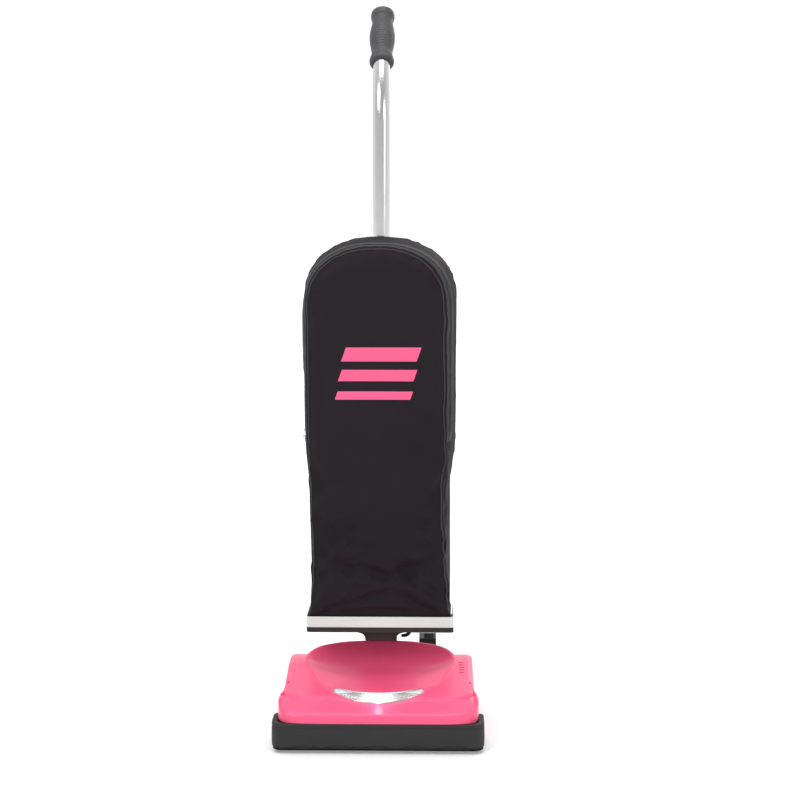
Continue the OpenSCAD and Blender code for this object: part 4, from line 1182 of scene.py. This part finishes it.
def zip_teeth():
    """Teeth along the tape's middle, set a little to the left and to the right in turn."""
    gaps = np.linalg.norm(np.diff(zip_line, axis=0), axis=1)
    at = np.concatenate([[0], np.cumsum(gaps)])
    count = int(at[-1] / TOOTH_PITCH)
    verts, faces = [], []
    for k in range(count):
        s = at[-1] * (k + 0.5) / count
        p = np.array([np.interp(s, at, zip_line[:, c]) for c in range(3)])
        q = np.array([np.interp(min(s + 1, at[-1]), at, zip_line[:, c]) for c in range(3)])
        o = np.array([np.interp(max(s - 1, 0), at, zip_line[:, c]) for c in range(3)])
        _, normal = onto_bag(p * MM, 0)
        along = (q - o) / max(np.linalg.norm(q - o), 1e-9)
        side = np.cross(along, normal)
        side /= np.linalg.norm(side)
        shift = 0.7 if k % 2 else -0.7
        base = len(verts)
        for u, v, w in TOOTH_LEVELS:
            for su, sv in ((-1, -1), (1, -1), (1, 1), (-1, 1)):
                verts.append(p + side * (su * u + shift) + along * (sv * v) + normal * w)
        faces += [tuple(base + i for i in f) for f in BLOCK_FACES]
    return verts, faces


verts, faces = zip_teeth()
piece("zip_teeth", verts, faces, "handle", "zip_teeth", 30)


def zip_block(name, outline_uv, w0, w1):
    """Metal block near one end of the zipper: u runs across the tape, v along it and w out of it."""
    centre = zip_line[-10]
    _, normal = onto_bag(centre * MM, 0)
    along = zip_line[-14] - zip_line[-6]
    along /= np.linalg.norm(along)
    side = np.cross(along, normal)
    side /= np.linalg.norm(side)
    verts = [centre + side * u + along * v + normal * w for w in (w0, w1) for u, v in outline_uv]
    ob = piece(name, verts, tube_faces(2, len(outline_uv)), "handle", "plated_steel", 30)
    soft = ob.modifiers.new("edge", "BEVEL")
    soft.width = 0.4 * MM
    soft.segments = 2


zip_block("zip_slider", round_rect(-4.5, 4.5, -6, 6, 3), 0.8, 3.6)
zip_block("zip_pull", round_rect(-3, 3, -26, -4, 2.4), 3.7, 4.9)


PRINT_SLANT = 0.35
PRINT_LIFT = 0.22 * MM


def stripe(name, x0, x1, z0, z1):
    """Printed bar on the front of the bag."""
    nx, nz = 60, 6
    verts = []
    for i in range(nx + 1):
        for k in range(nz + 1):
            z = mix(z0, z1, k / nz)
            x = mix(x0, x1, i / nx) + PRINT_SLANT * (z - z0)
            hit, normal, _, _ = skin.ray_cast(Vector((x * MM, -0.2, z * MM)), Vector((0, 1, 0)))
            verts.append((np.array(hit) + np.array(normal) * PRINT_LIFT) / MM)
    piece(name, verts, grid_faces(nx + 1, nz + 1), "handle", "print_ink", 0)


stripe("print_bar_1", -60, 58, 592, 614)
stripe("print_bar_2", -65, 53, 561, 579)
stripe("print_bar_3", -70, 48, 532, 545)

# ---------- pedal treads ----------
# Ribs across the pedal's sloping top, thinner at their ends.
RIB_X = np.linspace(70, 87, 12)
RIB_R = [0.3 + 0.8 * min(1, 3 * min(t, 1 - t) + 0.2) for t in np.linspace(0, 1, 12)]
for k in range(5):
    y = 54 + k * 4.6
    z = 119.25 + (y - 50) * 2 / 28
    verts, faces = sweep([(x, y, z) for x in RIB_X], RIB_R, 8, up=(0, 0, 1))
    piece(f"pedal_rib_{k}", verts, faces, "pedal", "black_plastic", 0)

# ---------- floor ----------
# Paper that glows faintly, more so away from the cleaner, so that it fades into the background.
bpy.ops.mesh.primitive_plane_add(size=60, location=(0, 0, -0.0005))
floor = bpy.context.active_object
floor.name = "floor"
floor_mat, floor_tree, floor_bsdf = new_material("floor_paper")
floor_bsdf.inputs["Base Color"].default_value = (0.82, 0.82, 0.82, 1)
floor_bsdf.inputs["Specular IOR Level"].default_value = 0.1
floor_bsdf.inputs["Emission Color"].default_value = (1, 1, 1, 1)
floor_where = coords(floor_tree)
floor_tree.links.new(remap(floor_tree, noise(floor_tree, floor_where, 30), 0.62, 0.74),
                     floor_bsdf.inputs["Roughness"])
floor_far = add(floor_tree, "ShaderNodeVectorMath", operation="LENGTH")
floor_tree.links.new(floor_where, floor_far.inputs[0])
floor_glow = remap(floor_tree, floor_far.outputs["Value"], 0.16, 0.6, 0.3, 3.0)
floor_tree.links.new(floor_glow, floor_bsdf.inputs["Emission Strength"])
floor.data.materials.append(floor_mat)
